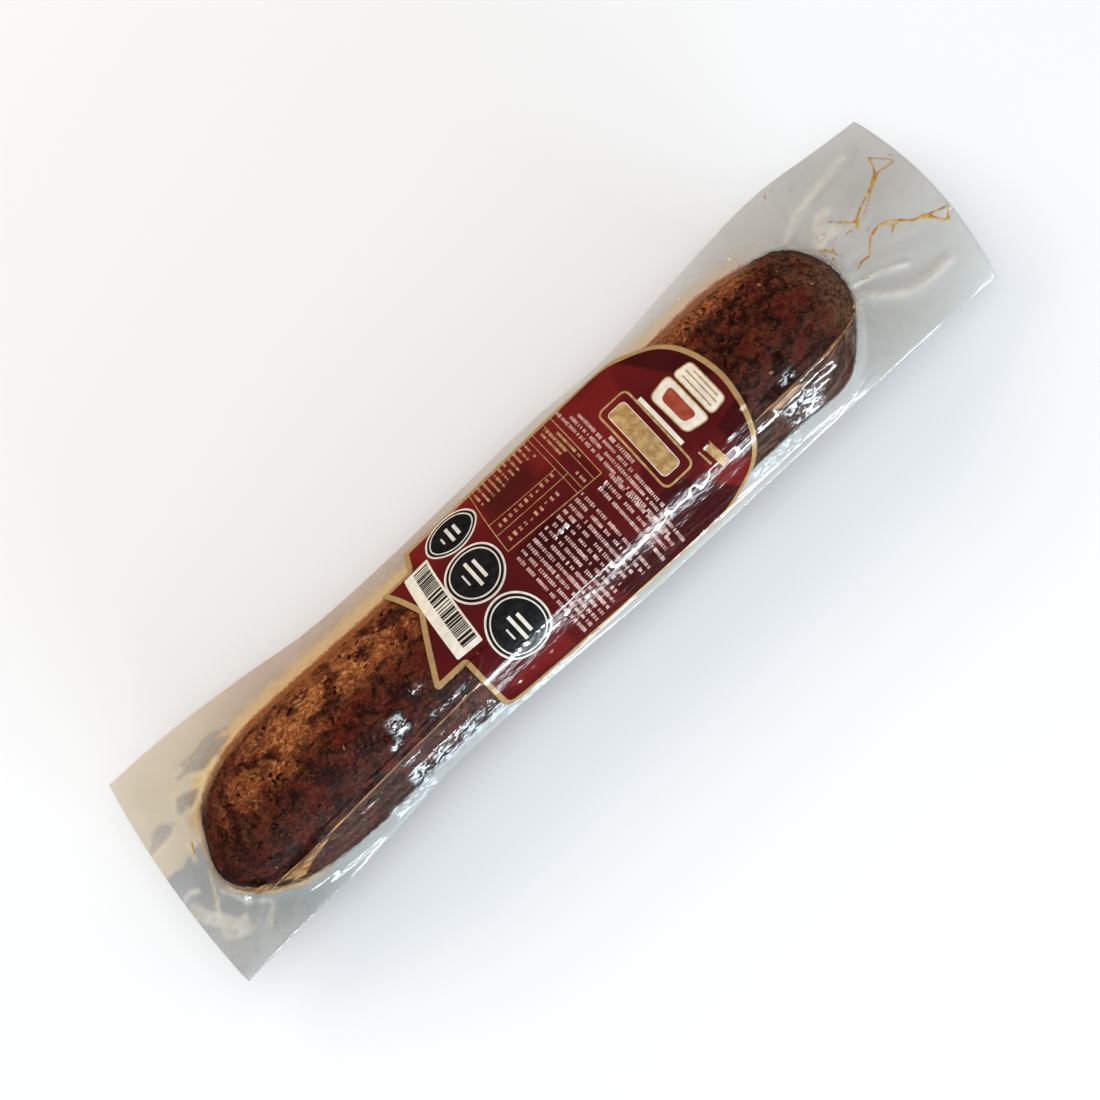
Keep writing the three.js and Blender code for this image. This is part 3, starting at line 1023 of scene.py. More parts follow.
def film_finish(name, flange_hides, haze_hides):
    """Clear glossy film: wet and clear on the crust, hazy past the crease, milky grey off it, with painted
    glints where it is crinkled.
    """
    f = Finish(name)
    x, y = f.axis("X"), f.axis("Y")
    shore, past_crease = f.attribute("shore"), f.attribute("past_crease")
    neutral, blue_grey, pink_grey = linear(198, 197, 192), linear(142, 147, 146), linear(176, 144, 116)
    cream, oil, milk, shade = (
        linear(216, 198, 166), linear(212, 176, 124), linear(240, 234, 220), linear(140, 134, 124))
    torn_y = f.ragged(y, 9, 5)
    upper_side = f.step(torn_y, 0, 12)
    tone = f.mix(f.product(f.step(f.ragged(x, 20, 30), 55, -50), upper_side), neutral, pink_grey)
    tone = f.mix(f.product(upper_side, f.step(x, 58, 90), 0.55), tone, linear(166, 160, 152))
    tone = f.mix(f.product(f.step(x, -62, -100), f.step(torn_y, 2.5, 4)), tone, cream)
    tone = f.mix(f.product(f.step(x, -50, -90), f.step(torn_y, 3.4, 2.4)), tone, blue_grey)
    tone = f.mix(f.product(f.step(f.noise(26, 3), 0.35, 0.7), 0.2), tone, milk)
    # A painted lighter band along the lower flange on the window's side, standing in for the light the
    # film catches there.
    tone = f.mix(f.product(f.step(y, -18, -20.5), f.step(x, -96, -80), 0.4), tone, linear(200, 203, 201))
    torn_shore = f.ragged(shore, 2.6, 2.4)
    # Fat and oil lie in the corner between crust and film, most of it on the upper side.
    band = f.product(f.step(torn_shore, -1.0, -0.2), f.step(torn_shore, 4.4, 1.6))
    upper = f.product(f.step(f.ragged(y, 4, 2), 4, 9), f.range(x, 0, 80, 1.0, 0.5))
    fat = f.product(band, upper, f.step(x, 84, 70))
    fibres = f.noise(1.1, 4, 0.65, stretch=(1.6, 1, 1))
    fat_tone = f.mix(f.step(fibres, 0.35, 0.65), oil, linear(222, 190, 142))
    tone = f.mix(f.product(fat, 0.9), tone, fat_tone)
    fine_shore = f.ragged(shore, 0.9, 1.8)
    rust = f.product(
        f.step(fine_shore, -1.9, -0.9), f.step(fine_shore, 0.5, -0.1),
        f.step(y, 6, 12), f.step(x, 80, 70))
    tone = f.mix(f.product(rust, 0.9), tone, linear(176, 98, 44))
    tip = f.product(f.step(torn_shore, -0.9, -0.2), f.step(torn_shore, 1.5, 0.5))
    left_tip = f.product(tip, f.step(x, -84, -94))
    tone = f.mix(f.product(left_tip, 0.85), tone, linear(190, 150, 94))
    right_tip = f.product(tip, f.step(x, 84, 87), f.step(f.noise(2.5, 4), 0.42, 0.58))
    tone = f.mix(f.product(right_tip, 0.8), tone, linear(216, 186, 134))
    hollow = f.step(f.ragged(f.attribute("hollow"), 2, 1.6), 0.7, -0.5)
    tone = f.mix(f.product(hollow, 0.75), tone, shade)
    rims = f.product(f.step(f.ragged(f.attribute("yellow_rim"), 1.4, 1.6), 0.7, -0.4), 0.7)
    tone = f.mix(rims, tone, linear(232, 214, 168))
    milky = f.product(f.step(f.ragged(f.attribute("milky"), 2.4, 1.0), 1.0, -0.9), 0.7)
    milky = f.maths("MULTIPLY", milky, f.range(f.noise(2, 3, stretch=(2.6, 1.4, 1)), 0.35, 0.65, 0.6, 1.0))
    tone = f.mix(milky, tone, milk)
    inside = f.step(f.ragged(shore, 1.3, 1.9), 0.3, -0.35)
    haze = f.product(inside, f.step(past_crease, 0.0, 0.35))
    wet = f.product(inside, f.step(past_crease, 0.3, 0.0))
    streaks = f.noise(1.7, 5, 0.7, stretch=(3.5, 1, 1), distortion=0.4)
    haze_tone = f.mix(f.step(streaks, 0.4, 0.62), linear(56, 38, 31), linear(132, 108, 94))
    tone = f.mix(haze, tone, haze_tone)
    tone = f.mix(f.product(wet, f.maths("SUBTRACT", 1.0, rust)), tone, linear(40, 18, 10))
    # Painted glints: a bluish white tone in the crinkled places that stands in for the window's glints on
    # the crinkled film.
    creased = f.noise(1.5, 4, 0.62, stretch=(1.7, 1, 1), distortion=1.4)
    painted_glints = f.product(f.attribute("crinkle"), f.step(creased, 0.47, 0.57))
    tone = f.mix(painted_glints, tone, linear(226, 238, 243))
    rim_fat = f.maths("MAXIMUM", fat, f.maths("MAXIMUM", left_tip, right_tip))
    hides = f.maths("ADD", flange_hides, f.product(f.maths("MAXIMUM", rim_fat, milky), 0.3))
    hides = f.maths("ADD", hides, f.product(f.maths("SUBTRACT", f.noise(6, 3), 0.5), 0.16))
    hides = f.maths("MULTIPLY", hides, f.maths("SUBTRACT", 1.0, inside))
    hides = f.maths("ADD", hides, f.product(f.maths("MAXIMUM", fat, rust), inside, 0.5))
    by_length = f.range(x, -40, 80, haze_hides, haze_hides * 2.1)
    haze_share = f.product(f.range(streaks, 0.3, 0.7, 0.5, 1.5), by_length)
    hides = f.maths("ADD", hides, f.product(haze, haze_share))
    hides = f.maths("MAXIMUM", hides, f.product(painted_glints, 0.8))
    gloss = f.add("ShaderNodeLayerWeight")
    gloss.inputs["Blend"].default_value = 0.22
    sheen = f.range(gloss.outputs["Fresnel"], 0.04, 1, 0.14, 0.24)
    share = f.maths("MULTIPLY", f.maths("MAXIMUM", hides, sheen), f.attribute("outer"))
    f.put(f.shader.inputs["Base Color"], tone)
    f.shader.inputs["Roughness"].default_value = 0.07
    f.shader.inputs["IOR"].default_value = 1.6
    f.shader.inputs["Specular IOR Level"].default_value = 0.9
    wrinkles = f.noise(1.5, 3, 0.6, stretch=(2.2, 1, 1), distortion=0.4)
    wrinkles = f.product(wrinkles, f.range(f.attribute("crinkle"), 0, 1, 0.05, 0.34))
    f.bump(wrinkles, 1.0)
    f.see_through(share)
    return f.material


# ---- Label ----

LABEL_ROWS = 150
LABEL_COLUMNS = 210
HEAD_X = 31
HEAD_LENGTH = 23
HEAD_POWER = 1.75
HEAD_MIDDLE = 1.5
LABEL_TOP = 31.2
LABEL_FOOT = -31.2
# Where the label's left and lower edge lies, as (round, x) from its foot to its top.
LABEL_TAIL = [
    (-31.2, 31), (-29.4, 1), (-26.9, -28), (-26.2, -31), (-24.8, -32.6), (-22.6, -33.3),
    (-5.6, -33.4), (-5.45, -41.2), (-4.9, -41.8), (-4.1, -41.8), (10.2, -33.3), (23.4, -37.5),
    (23.8, -29.2), (31.2, -27.3),
]
LABEL_LIFT = FILM / 2 + GAP + LABEL_THICK


def label_head(around):
    """Where the label's round head ends."""
    half = np.where(around > HEAD_MIDDLE, LABEL_TOP - HEAD_MIDDLE, HEAD_MIDDLE - LABEL_FOOT)
    share = np.clip(np.abs(around - HEAD_MIDDLE) / half, 0, 1)
    return HEAD_X + HEAD_LENGTH * (1 - share ** HEAD_POWER) ** (1 / HEAD_POWER)


def label_tail(around):
    """Where the label's notched tail ends."""
    rounds, xs = zip(*LABEL_TAIL)
    return np.interp(around, rounds, xs)


def label_outline():
    """The label's edge as points (x, round), once about."""
    rounds = np.linspace(LABEL_FOOT, LABEL_TOP, 90)
    head = list(zip(label_head(rounds), rounds))
    return head + [(x, a) for a, x in reversed(LABEL_TAIL)]


def on_label(x, around, lift=0.0):
    """A place on the label's top face, lifted off it."""
    return film_point(x, around, LABEL_LIFT + lift + film_ripple(x, around))


def on_film(x, around, lift=0.0):
    """A place on the top film's outer face, lifted off it."""
    return film_point(x, around, FILM / 2 + lift + film_ripple(x, around))


def label_place(x, y):
    """The point (x, round) of the label that is seen at (x, y) from above."""
    return np.stack([np.asarray(x, float), around_at(x, y, LABEL_LIFT)], -1)


def film_place(x, y):
    """The point (x, round) of the top film that is seen at (x, y) from above."""
    return np.stack([np.asarray(x, float), around_at(x, y, FILM / 2)], -1)


# Broad slanting shades of the print, darker and lighter than it, each as its corners from above.
DARK_BANDS = [
    [(19, -9), (30, -8.4), (41, -20.6), (36, -23.4), (20, -23.6)],
    [(37, 21.5), (47, 18), (53, 8), (53.8, 2), (48, 6)],
    [(-8, 3.6), (4, 4.4), (20, -22.8), (6, -23)],
    [(44.6, -6), (53, -4), (50, -12), (46, -16)],
]
LIGHT_BANDS = [
    [(-28, 21), (11, 21.4), (26, 20), (22, 13), (-24, 14)],
    [(37, -9.6), (46.4, -17), (41, -21.4), (35, -18)],
    [(19, 19), (36, 20), (30, 4), (22, -6), (18, 2)],
    [(-30, -17), (-12, -17), (-12, -21), (-28, -20)],
]


def make_label():
    """The printed sheet over the top film, which knows how far each place is from its edge."""
    rows = np.linspace(LABEL_FOOT, LABEL_TOP, LABEL_ROWS)
    rows = np.unique(np.concatenate([rows, [a for a, _ in LABEL_TAIL]]))
    share = np.linspace(0, 1, LABEL_COLUMNS)
    around = np.repeat(rows[:, None], LABEL_COLUMNS, axis=1)
    x = lerp(label_tail(around), label_head(around), share[None, :])
    top = on_label(x, around)
    bottom = on_label(x, around, -LABEL_THICK)
    vertices = np.concatenate([top.reshape(-1, 3), bottom.reshape(-1, 3)])
    faces = slab_faces(len(rows), LABEL_COLUMNS)[:, ::-1]
    piece = mesh_object("printed_label", vertices, faces)
    outline = label_outline()
    y = top[..., 1]
    facts = {
        "edge": path_distance(x, around, outline + outline[:1]), "round": around,
        "dark_band": nearest_shape(x, y, DARK_BANDS), "light_band": nearest_shape(x, y, LIGHT_BANDS),
    }
    for key, values in facts.items():
        add_float(piece, key, np.concatenate([values.ravel()] * 2))
    piece.data.materials.append(label_finish())
    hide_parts("label")
    return piece


def glossy_print(f, roughness=0.22):
    """The gloss that every ink on the label shares, with the sheet's gentle waves and creases."""
    f.shader.inputs["Roughness"].default_value = roughness
    f.shader.inputs["Coat Weight"].default_value = 0.7
    f.shader.inputs["Coat Roughness"].default_value = 0.04
    f.shader.inputs["Specular IOR Level"].default_value = 0.35
    y = f.axis("Y")
    waves = f.noise(4.5, 3, 0.55, stretch=(2.4, 1, 1))
    creased = f.product(f.step(y, -15.6, -17.6), f.noise(1.7, 3, 0.6, stretch=(1.8, 1, 1)))
    f.bump(f.maths("ADD", waves, f.product(creased, 0.3)), 0.7)
    return f.material


def label_finish():
    """Glossy burgundy print in broad slanting shades, inside a gold edge."""
    f = Finish("burgundy_print")
    x = f.axis("X")
    burgundy, dark, bright = linear(88, 20, 22), linear(48, 14, 16), linear(128, 34, 30)
    slant = f.maths("ADD", x, f.product(f.attribute("round"), 0.5))
    wave = f.maths("SINE", f.product(slant, 0.33))
    base = f.mix(f.product(f.step(wave, 0.0, 0.9), 0.35), burgundy, linear(70, 16, 18))
    # Brighter towards the upper side: a painted lighter upper side, where the warm light falls.
    base = f.mix(f.product(f.step(f.attribute("round"), 6, 26), 0.45), base, bright)
    base = f.mix(f.product(f.step(f.attribute("light_band"), 0.9, -0.9), 0.55), base, bright)
    base = f.mix(f.product(f.step(f.attribute("dark_band"), 0.5, -0.5), 0.75), base, dark)
    base = f.mix(f.product(f.noise(5, 3), 0.22), base, linear(60, 12, 14))
    off_middle = f.maths("ABSOLUTE", f.maths("SUBTRACT", x, 0.5))
    off_line = f.maths("ABSOLUTE", f.maths("SUBTRACT", f.axis("Y"), 15.4))
    shadow = f.product(f.step(off_middle, 10, 5), f.step(off_line, 4.6, 1.2))
    base = f.mix(f.product(shadow, 0.62), base, linear(44, 22, 16))
    gold = f.mix(f.noise(1.2, 3), linear(150, 116, 70), linear(186, 156, 108))
    base = f.mix(f.step(f.attribute("edge"), 1.3, 1.4), gold, base)
    f.put(f.shader.inputs["Base Color"], base)
    return glossy_print(f)


# ---- Marks laid on the label and on the film ----

class Marks:
    """Thin closed slabs of one finish that lie on the label or the film, gathered in one piece."""

    def __init__(self, surface, thick=PRINT_THICK, lift=0.0):
        self.surface, self.thick, self.lift = surface, thick, lift
        self.vertices, self.faces, self.rims, self.count = [], [], [], 0

    def add(self, flat, faces, rim=None):
        """Lays a flat shape, and its underside after it, on the surface."""
        x, around = flat[:, 0], flat[:, 1]
        top = self.surface(x, around, self.lift + self.thick)
        bottom = self.surface(x, around, self.lift)
        self.vertices += [top, bottom]
        self.rims += [np.zeros(len(flat)) if rim is None else rim] * 2
        self.faces += [tuple(int(i) + self.count for i in face) for face in faces]
        self.count += 2 * len(flat)

    def ribbon(self, points, width, closed=False, step=0.9):
        """A line of even width through points (x, round). width may change along it."""
        path, widths = even_path(points, width, closed, step)
        ahead = np.gradient(path, axis=0)
        if closed:
            ahead = np.roll(path, -1, axis=0) - np.roll(path, 1, axis=0)
        ahead /= np.maximum(np.linalg.norm(ahead, axis=1, keepdims=True), 1e-9)
        side = np.stack([-ahead[:, 1], ahead[:, 0]], -1) * widths[:, None] / 2
        count = len(path)
        flat = np.concatenate([path + side, path - side])
        base = 2 * count
        faces = []
        for i in range(count if closed else count - 1):
            j = (i + 1) % count
            left, right, next_right, next_left = i, count + i, count + j, j
            faces.append((left, right, next_right, next_left))
            faces.append((base + next_left, base + next_right, base + right, base + left))
            faces.append((right, base + right, base + next_right, next_right))
            faces.append((next_left, base + next_left, base + left, left))
        if not closed:
            last = count - 1
            faces.append((0, base, base + count, count))
            faces.append((count + last, base + count + last, base + last, last))
        self.add(flat, faces)

    def fill(self, outline, rings=5):
        """A filled shape whose whole edge can be seen from its middle."""
        edge = np.array(outline, float)
        middle = edge.mean(axis=0)
        count = len(edge)
        shares = np.linspace(0, 1, rings + 1)[1:]
        flat = np.concatenate([[middle]] + [middle + share * (edge - middle) for share in shares])
        base = len(flat)
        here = np.arange(count)
        beside = (here + 1) % count
        faces = [(0, 1 + a, 1 + b) for a, b in zip(here, beside)]
        faces += [(base, base + 1 + b, base + 1 + a) for a, b in zip(here, beside)]
        for ring in range(rings - 1):
            low, high = 1 + ring * count, 1 + (ring + 1) * count
            faces += [(low + a, high + a, high + b, low + b) for a, b in zip(here, beside)]
            faces += [(base + low + b, base + high + b, base + high + a, base + low + a)
                      for a, b in zip(here, beside)]
        rim = 1 + (rings - 1) * count
        faces += [(rim + b, rim + a, base + rim + a, base + rim + b) for a, b in zip(here, beside)]
        self.add(flat, faces, np.concatenate([[0], np.repeat(shares, count)]))

    def mesh(self, flat_mesh):
        """Wraps a mesh that lies flat over (x, round) in millimetres, with its height as lift."""
        flat = np.empty(len(flat_mesh.vertices) * 3)
        flat_mesh.vertices.foreach_get("co", flat)
        flat = flat.reshape(-1, 3)
        self.vertices.append(self.surface(flat[:, 0], flat[:, 1], self.lift + flat[:, 2]))
        self.faces += [tuple(i + self.count for i in p.vertices) for p in flat_mesh.polygons]
        self.rims.append(np.zeros(len(flat)))
        self.count += len(flat)

    def piece(self, name, material, slot, smooth=False):
        made = mesh_object(name, np.concatenate(self.vertices), self.faces, smooth)
        turn_outwards(made)
        add_float(made, "rim", np.concatenate(self.rims))
        made.data.materials.append(material)
        return made


def turn_outwards(piece):
    shape = bmesh.new()
    shape.from_mesh(piece.data)
    bmesh.ops.recalc_face_normals(shape, faces=shape.faces)
    shape.to_mesh(piece.data)
    shape.free()


def even_path(points, width, closed, step):
    """Points spaced about step millimetres apart through the given ones, and their widths."""
    points = np.array(points, float)
    widths = np.broadcast_to(np.asarray(width, float), len(points)).copy()
    if closed:
        points = np.concatenate([points, points[:1]])
        widths = np.append(widths, widths[0])
    path, spread = [], []
    for k in range(len(points) - 1):
        parts = max(int(math.ceil(np.linalg.norm(points[k + 1] - points[k]) / step)), 1)
        for t in np.arange(parts) / parts:
            path.append(lerp(points[k], points[k + 1], t))
            spread.append(lerp(widths[k], widths[k + 1], t))
    if not closed:
        path.append(points[-1])
        spread.append(widths[-1])
    return np.array(path), np.array(spread)


def rounded(points, radius, steps=5):
    """The closed outline through the points with its corners rounded."""
    points = [np.array(p, float) for p in points]
    outline = []
    for k, corner in enumerate(points):
        before, after = points[k - 1], points[(k + 1) % len(points)]
        start = corner + (before - corner) / np.linalg.norm(before - corner) * radius
        end = corner + (after - corner) / np.linalg.norm(after - corner) * radius
        for t in np.linspace(0, 1, steps):
            outline.append((1 - t) ** 2 * start + 2 * t * (1 - t) * corner + t ** 2 * end)
    return np.array(outline)


def dense(outline, step=0.9):
    return even_path(outline, 1, True, step)[0]


def disc(middle, radius_x, radius_round, count=48):
    turn = np.arange(count) / count * 2 * math.pi
    return np.stack([middle[0] + radius_x * np.cos(turn), middle[1] + radius_round * np.sin(turn)], -1)


def through(places, points):
    xs, ys = zip(*points)
    return places(xs, ys)


def rounded_panel(points, radius):
    """The rounded outline on the label through the corners seen from above."""
    return rounded(through(label_place, points), radius)


# ---- Print on the label ----

# The three plain round seals, as (left, right, top, bottom) seen from above.
SEALS = [(-23.4, -8.5, 19.9, 12.6), (-25.4, -10.2, 12.2, -0.5), (-26.3, -10.9, -1, -16.2)]
BAR_WIDTHS = [0.9, 0.4, 0.4, 1.2, 0.4, 0.8, 0.4, 0.4, 1.1, 0.5, 0.4, 0.9, 0.4, 1.0, 0.4, 0.7, 0.4]


def seal_shapes():
    for left, right, top, bottom in SEALS:
        high, low = label_place([left, left], [top, bottom])[:, 1]
        middle = ((left + right) / 2, (high + low) / 2)
        yield middle, (right - left) / 2, (high - low) / 2


def make_seals(dark, cream):
    """Dark discs with two cream rings."""
    for middle, radius_x, radius_round in seal_shapes():
        dark.fill(disc(middle, radius_x, radius_round), 8)
        cream.ribbon(disc(middle, radius_x - 0.25, radius_round - 0.25, 64), 0.5, True)
        cream.ribbon(disc(middle, radius_x - 1.35, radius_round - 1.35, 64), 0.35, True)
        cream.ribbon([(middle[0] + 1.6, middle[1] + 2.6), (middle[0] + 1.6, middle[1] - 2.6)], 0.9)
        cream.ribbon([(middle[0] - 0.4, middle[1] + 3.4), (middle[0] - 0.4, middle[1] - 3.4)], 0.9)
        cream.ribbon([(middle[0] - 2.6, middle[1] + 1.5), (middle[0] - 2.6, middle[1] - 1.5)], 0.45)


def make_bar_field(panel, bars):
    """A cream panel with bars across it."""
    corners = through(label_place, [(-31.2, 15.9), (-23.9, 16.2), (-26.6, -5.9), (-33.9, -5.5)])
    panel.fill(dense(rounded(corners, 0.4)), 8)
    upper_left, upper_right, lower_right, lower_left = corners
    reach = np.linalg.norm(upper_left - lower_left)
    at = 1.4
    for k in range(200):
        width = BAR_WIDTHS[(k * 7) % len(BAR_WIDTHS)] * 0.62
        if at + width > reach - 1.4:
            break
        share = (at + width / 2) / reach
        left = lerp(upper_left, lower_left, share)
        right = lerp(upper_right, lower_right, share)
        bars.ribbon([lerp(left, right, 0.36), lerp(left, right, 0.92)], width, step=1.5)
        at += width + BAR_WIDTHS[(k * 5 + 3) % len(BAR_WIDTHS)] * 0.45


def make_table_rules(gold):
    for width, points in (
        (0.22, [(-7, 21), (-9, 4.9), (18.5, 3.7)]), (0.22, [(18.5, 3.7), (18.7, 20.7)]),
        (0.16, [(11.5, 20.8), (11.5, 4.2)]), (0.16, [(13, 20.8), (13, 4.2)]),
        (0.16, [(16.4, 20.8), (16.4, 4)]), (0.18, [(-8.2, 12.1), (11.5, 11.5)]),
        (0.16, [(-8.6, 9.1), (13, 8.8)]), (0.22, [(-7, 20.8), (18.7, 20.7)]),
    ):
        gold.ribbon(through(label_place, points), width, step=0.8)


PLAQUE_LINES = [(46.8, 7.6, -1.8), (48.2, 8, -2), (49.4, 6.6, -1)]


def make_plaque(gold, panel, field):
    """The round-cornered gold frame with its bar, and the plain plaque beside it."""
    gold.ribbon(rounded_panel([(26.8, 14.1), (35.3, 14.1), (35.3, -8.9), (26.8, -8.9)], 2), 0.55, True)
    bar = rounded_panel([(28.3, 12.4), (33.2, 12.4), (33.2, -6.6), (28.3, -6.6)], 1.2)
    gold.fill(dense(bar), 4)
    panel.ribbon(bar, 0.4, True)
    panel.ribbon(through(label_place, [(36.2, 10.4), (36.4, -3.8)]), 1.1)
    for corners, radius in (
        ([(38, 9), (44.6, 10), (44.8, -3.8), (38.6, -2.6)], 1.6),
        ([(45.4, 9.4), (50.4, 8.8), (50.6, -2.8), (45.6, -3.4)], 1.4),
    ):
        plaque = rounded_panel(corners, radius)
        panel.fill(dense(plaque), 5)
        gold.ribbon(plaque, 0.3, True)
    field.fill(dense(rounded_panel([(39.6, 7), (43.2, 7.8), (43.2, -1.2), (39.8, -0.4)], 1.2)), 4)
    for x, top, foot in PLAQUE_LINES:
        gold.ribbon(through(label_place, [(x, top), (x + 0.1, foot)]), 0.35)
    gold.ribbon(through(label_place, [(40.2, -7.4), (41, -13.8)]), 2.2)
    gold.ribbon(through(label_place, [(37.8, -7.6), (38.2, -11.4)]), 0.5)


def word_tree():
    """Rows of small upright dashes, as plain as ruled lines, with gaps between groups of them."""
    t = Tree("rows_of_dashes", [
        ("Rows", "NodeSocketInt"), ("Row step", "NodeSocketFloat"), ("Dashes", "NodeSocketInt"),
        ("Dash step", "NodeSocketFloat"), ("Dash height", "NodeSocketFloat"),
        ("Thickness", "NodeSocketFloat"), ("Gap share", "NodeSocketFloat"),
        ("Ragged end", "NodeSocketFloat"), ("Seed", "NodeSocketInt"),
        ("Material", "NodeSocketMaterial"),
    ])
    given = t.given
    width = t.maths("MULTIPLY", t.maths("SUBTRACT", given["Rows"], 1), given["Row step"])
    length = t.maths("MULTIPLY", t.maths("SUBTRACT", given["Dashes"], 1), given["Dash step"])
    grid = t.add("GeometryNodeMeshGrid", {
        "Size X": width, "Size Y": length, "Vertices X": given["Rows"], "Vertices Y": given["Dashes"],
    })
    spot = t.add("GeometryNodeInputPosition")
    split = t.add("ShaderNodeSeparateXYZ", {0: spot.outputs[0]})
    row = t.maths("ROUND", t.maths("DIVIDE", split.outputs["X"], given["Row step"]))
    row = t.add("FunctionNodeFloatToInt", {0: row}).outputs[0]
    end = t.random(0.0, given["Ragged end"], 3, extra=row)
    from_foot = t.maths("ADD", split.outputs["Y"], t.maths("MULTIPLY", length, 0.5))
    too_far = t.maths("LESS_THAN", from_foot, end)
    in_gap = t.maths("LESS_THAN", t.random(0.0, 1.0, given["Seed"]), given["Gap share"])
    gone = t.maths("MAXIMUM", too_far, in_gap)
    kept = t.add("GeometryNodeDeleteGeometry", {"Geometry": grid.outputs["Mesh"], "Selection": gone})
    dash = t.add("GeometryNodeMeshCube", {"Vertices X": 2, "Vertices Y": 2, "Vertices Z": 2})
    height = t.random(0.62, 1.0, 11)
    size_x = t.maths("MULTIPLY", height, given["Dash height"])
    size_y = t.maths("MULTIPLY", t.random(0.45, 0.95, 13), given["Dash step"])
    size = t.add("ShaderNodeCombineXYZ", {0: size_x, 1: size_y, 2: given["Thickness"]})
    placed = t.add("GeometryNodeInstanceOnPoints", {
        "Points": kept.outputs[0], "Instance": dash.outputs["Mesh"], "Scale": size.outputs[0],
    })
    t.finish(placed.outputs[0], given["Material"])
    return t.tree


DASH_STEP = 0.62
# Rows of dashes: (first x, top, foot, row step, dash height, rows, ragged end, seed).
PALE_ROWS = [
    (-8.3, 3.2, -20.6, 1.86, 1.05, 12, 7, 2), (15.9, 2.6, -21, 1.9, 1.05, 3, 5, 12),
    (20.6, 20.4, -17, 1.75, 1.0, 1, 0, 3), (22.2, 18.2, -20.4, 1.75, 1.0, 1, 0, 5),
    (23.8, 17.3, -14.3, 1.75, 1.0, 1, 0, 7), (25.4, 8.6, 0.5, 1.75, 1.1, 1, 0, 8),
]
GOLD_ROWS = [
    (-6.1, 20.6, 15.9, 1.62, 0.7, 11, 1.5, 9), (-6.3, 11.2, 9.4, 1.62, 0.8, 11, 0.4, 10),
    (-6.6, 7.6, 5.4, 1.62, 0.8, 11, 0.4, 14), (14.7, 20, 12.6, 1.3, 0.7, 2, 0, 15),
    (17.5, 17.6, 9.6, 1.3, 0.7, 1, 0, 16), (14.5, 8.4, 4.6, 1.6, 0.8, 1, 0, 17),
]


def lay_rows(marks, tree, x, top, foot, row_step, height, rows, ragged, seed):
    """Rows of dashes that run from top down to foot, the first at x and the rest after it."""
    start, end = (float(v) for v in label_place([x, x], [top, foot])[:, 1])
    mesh = run_tree(tree, {
        "Rows": rows, "Row step": row_step, "Dashes": max(int((start - end) / DASH_STEP), 2),
        "Dash step": DASH_STEP, "Dash height": height, "Thickness": PRINT_THICK, "Gap share": 0.16,
        "Ragged end": float(ragged), "Seed": seed,
    }, bpy.data.meshes.new("seed"))
    middle = (x + (rows - 1) * row_step / 2, (start + end) / 2, PRINT_THICK / 2)
    mesh.transform(Matrix.Translation(middle))
    marks.mesh(mesh)


def ink(name, low, high, roughness=0.3):
    f = Finish(name)
    f.put(f.shader.inputs["Base Color"], f.mix(f.step(f.noise(1.6, 3), 0.35, 0.65), low, high))
    return glossy_print(f, roughness)


def make_print():
    """Every mark on the label, gathered by ink."""
    dark, panel, words, gold_words = (Marks(on_label) for _ in range(4))
    field, cream, bars = (Marks(on_label, lift=PRINT_THICK) for _ in range(3))
    gold = Marks(on_label, lift=PRINT_THICK * 0.6)
    make_seals(dark, cream)
    make_bar_field(panel, bars)
    make_table_rules(gold)
    make_plaque(gold, panel, field)
    tree = word_tree()
    for marks, table in ((words, PALE_ROWS), (gold_words, GOLD_ROWS)):
        for row in table:
            lay_rows(marks, tree, *row)
    inks = (
        (dark, "round_seals", "black_ink", (22, 22, 24), (34, 33, 34)),
        (panel, "cream_panels", "cream_ink", (222, 214, 198), (236, 230, 216)),
        (field, "plaque_field", "russet_ink", (150, 60, 44), (170, 80, 58)),
        (gold, "gold_rules", "gold_ink", (160, 124, 74), (192, 160, 110)),
        (cream, "seal_rings", "pale_ink", (214, 206, 194), (230, 222, 210)),
        (bars, "panel_bars", "bar_ink", (30, 24, 24), (44, 36, 34)),
        (words, "plain_rows", "row_ink", (178, 140, 130), (210, 180, 170)),
        (gold_words, "table_rows", "row_gold", (176, 136, 98), (200, 164, 124)),
    )
    return [
        marks.piece(name, ink(finish, linear(*low), linear(*high)), "label_print")
        for marks, name, finish, low, high in inks
    ]


# ---- Oil, fat and creases in the film ----

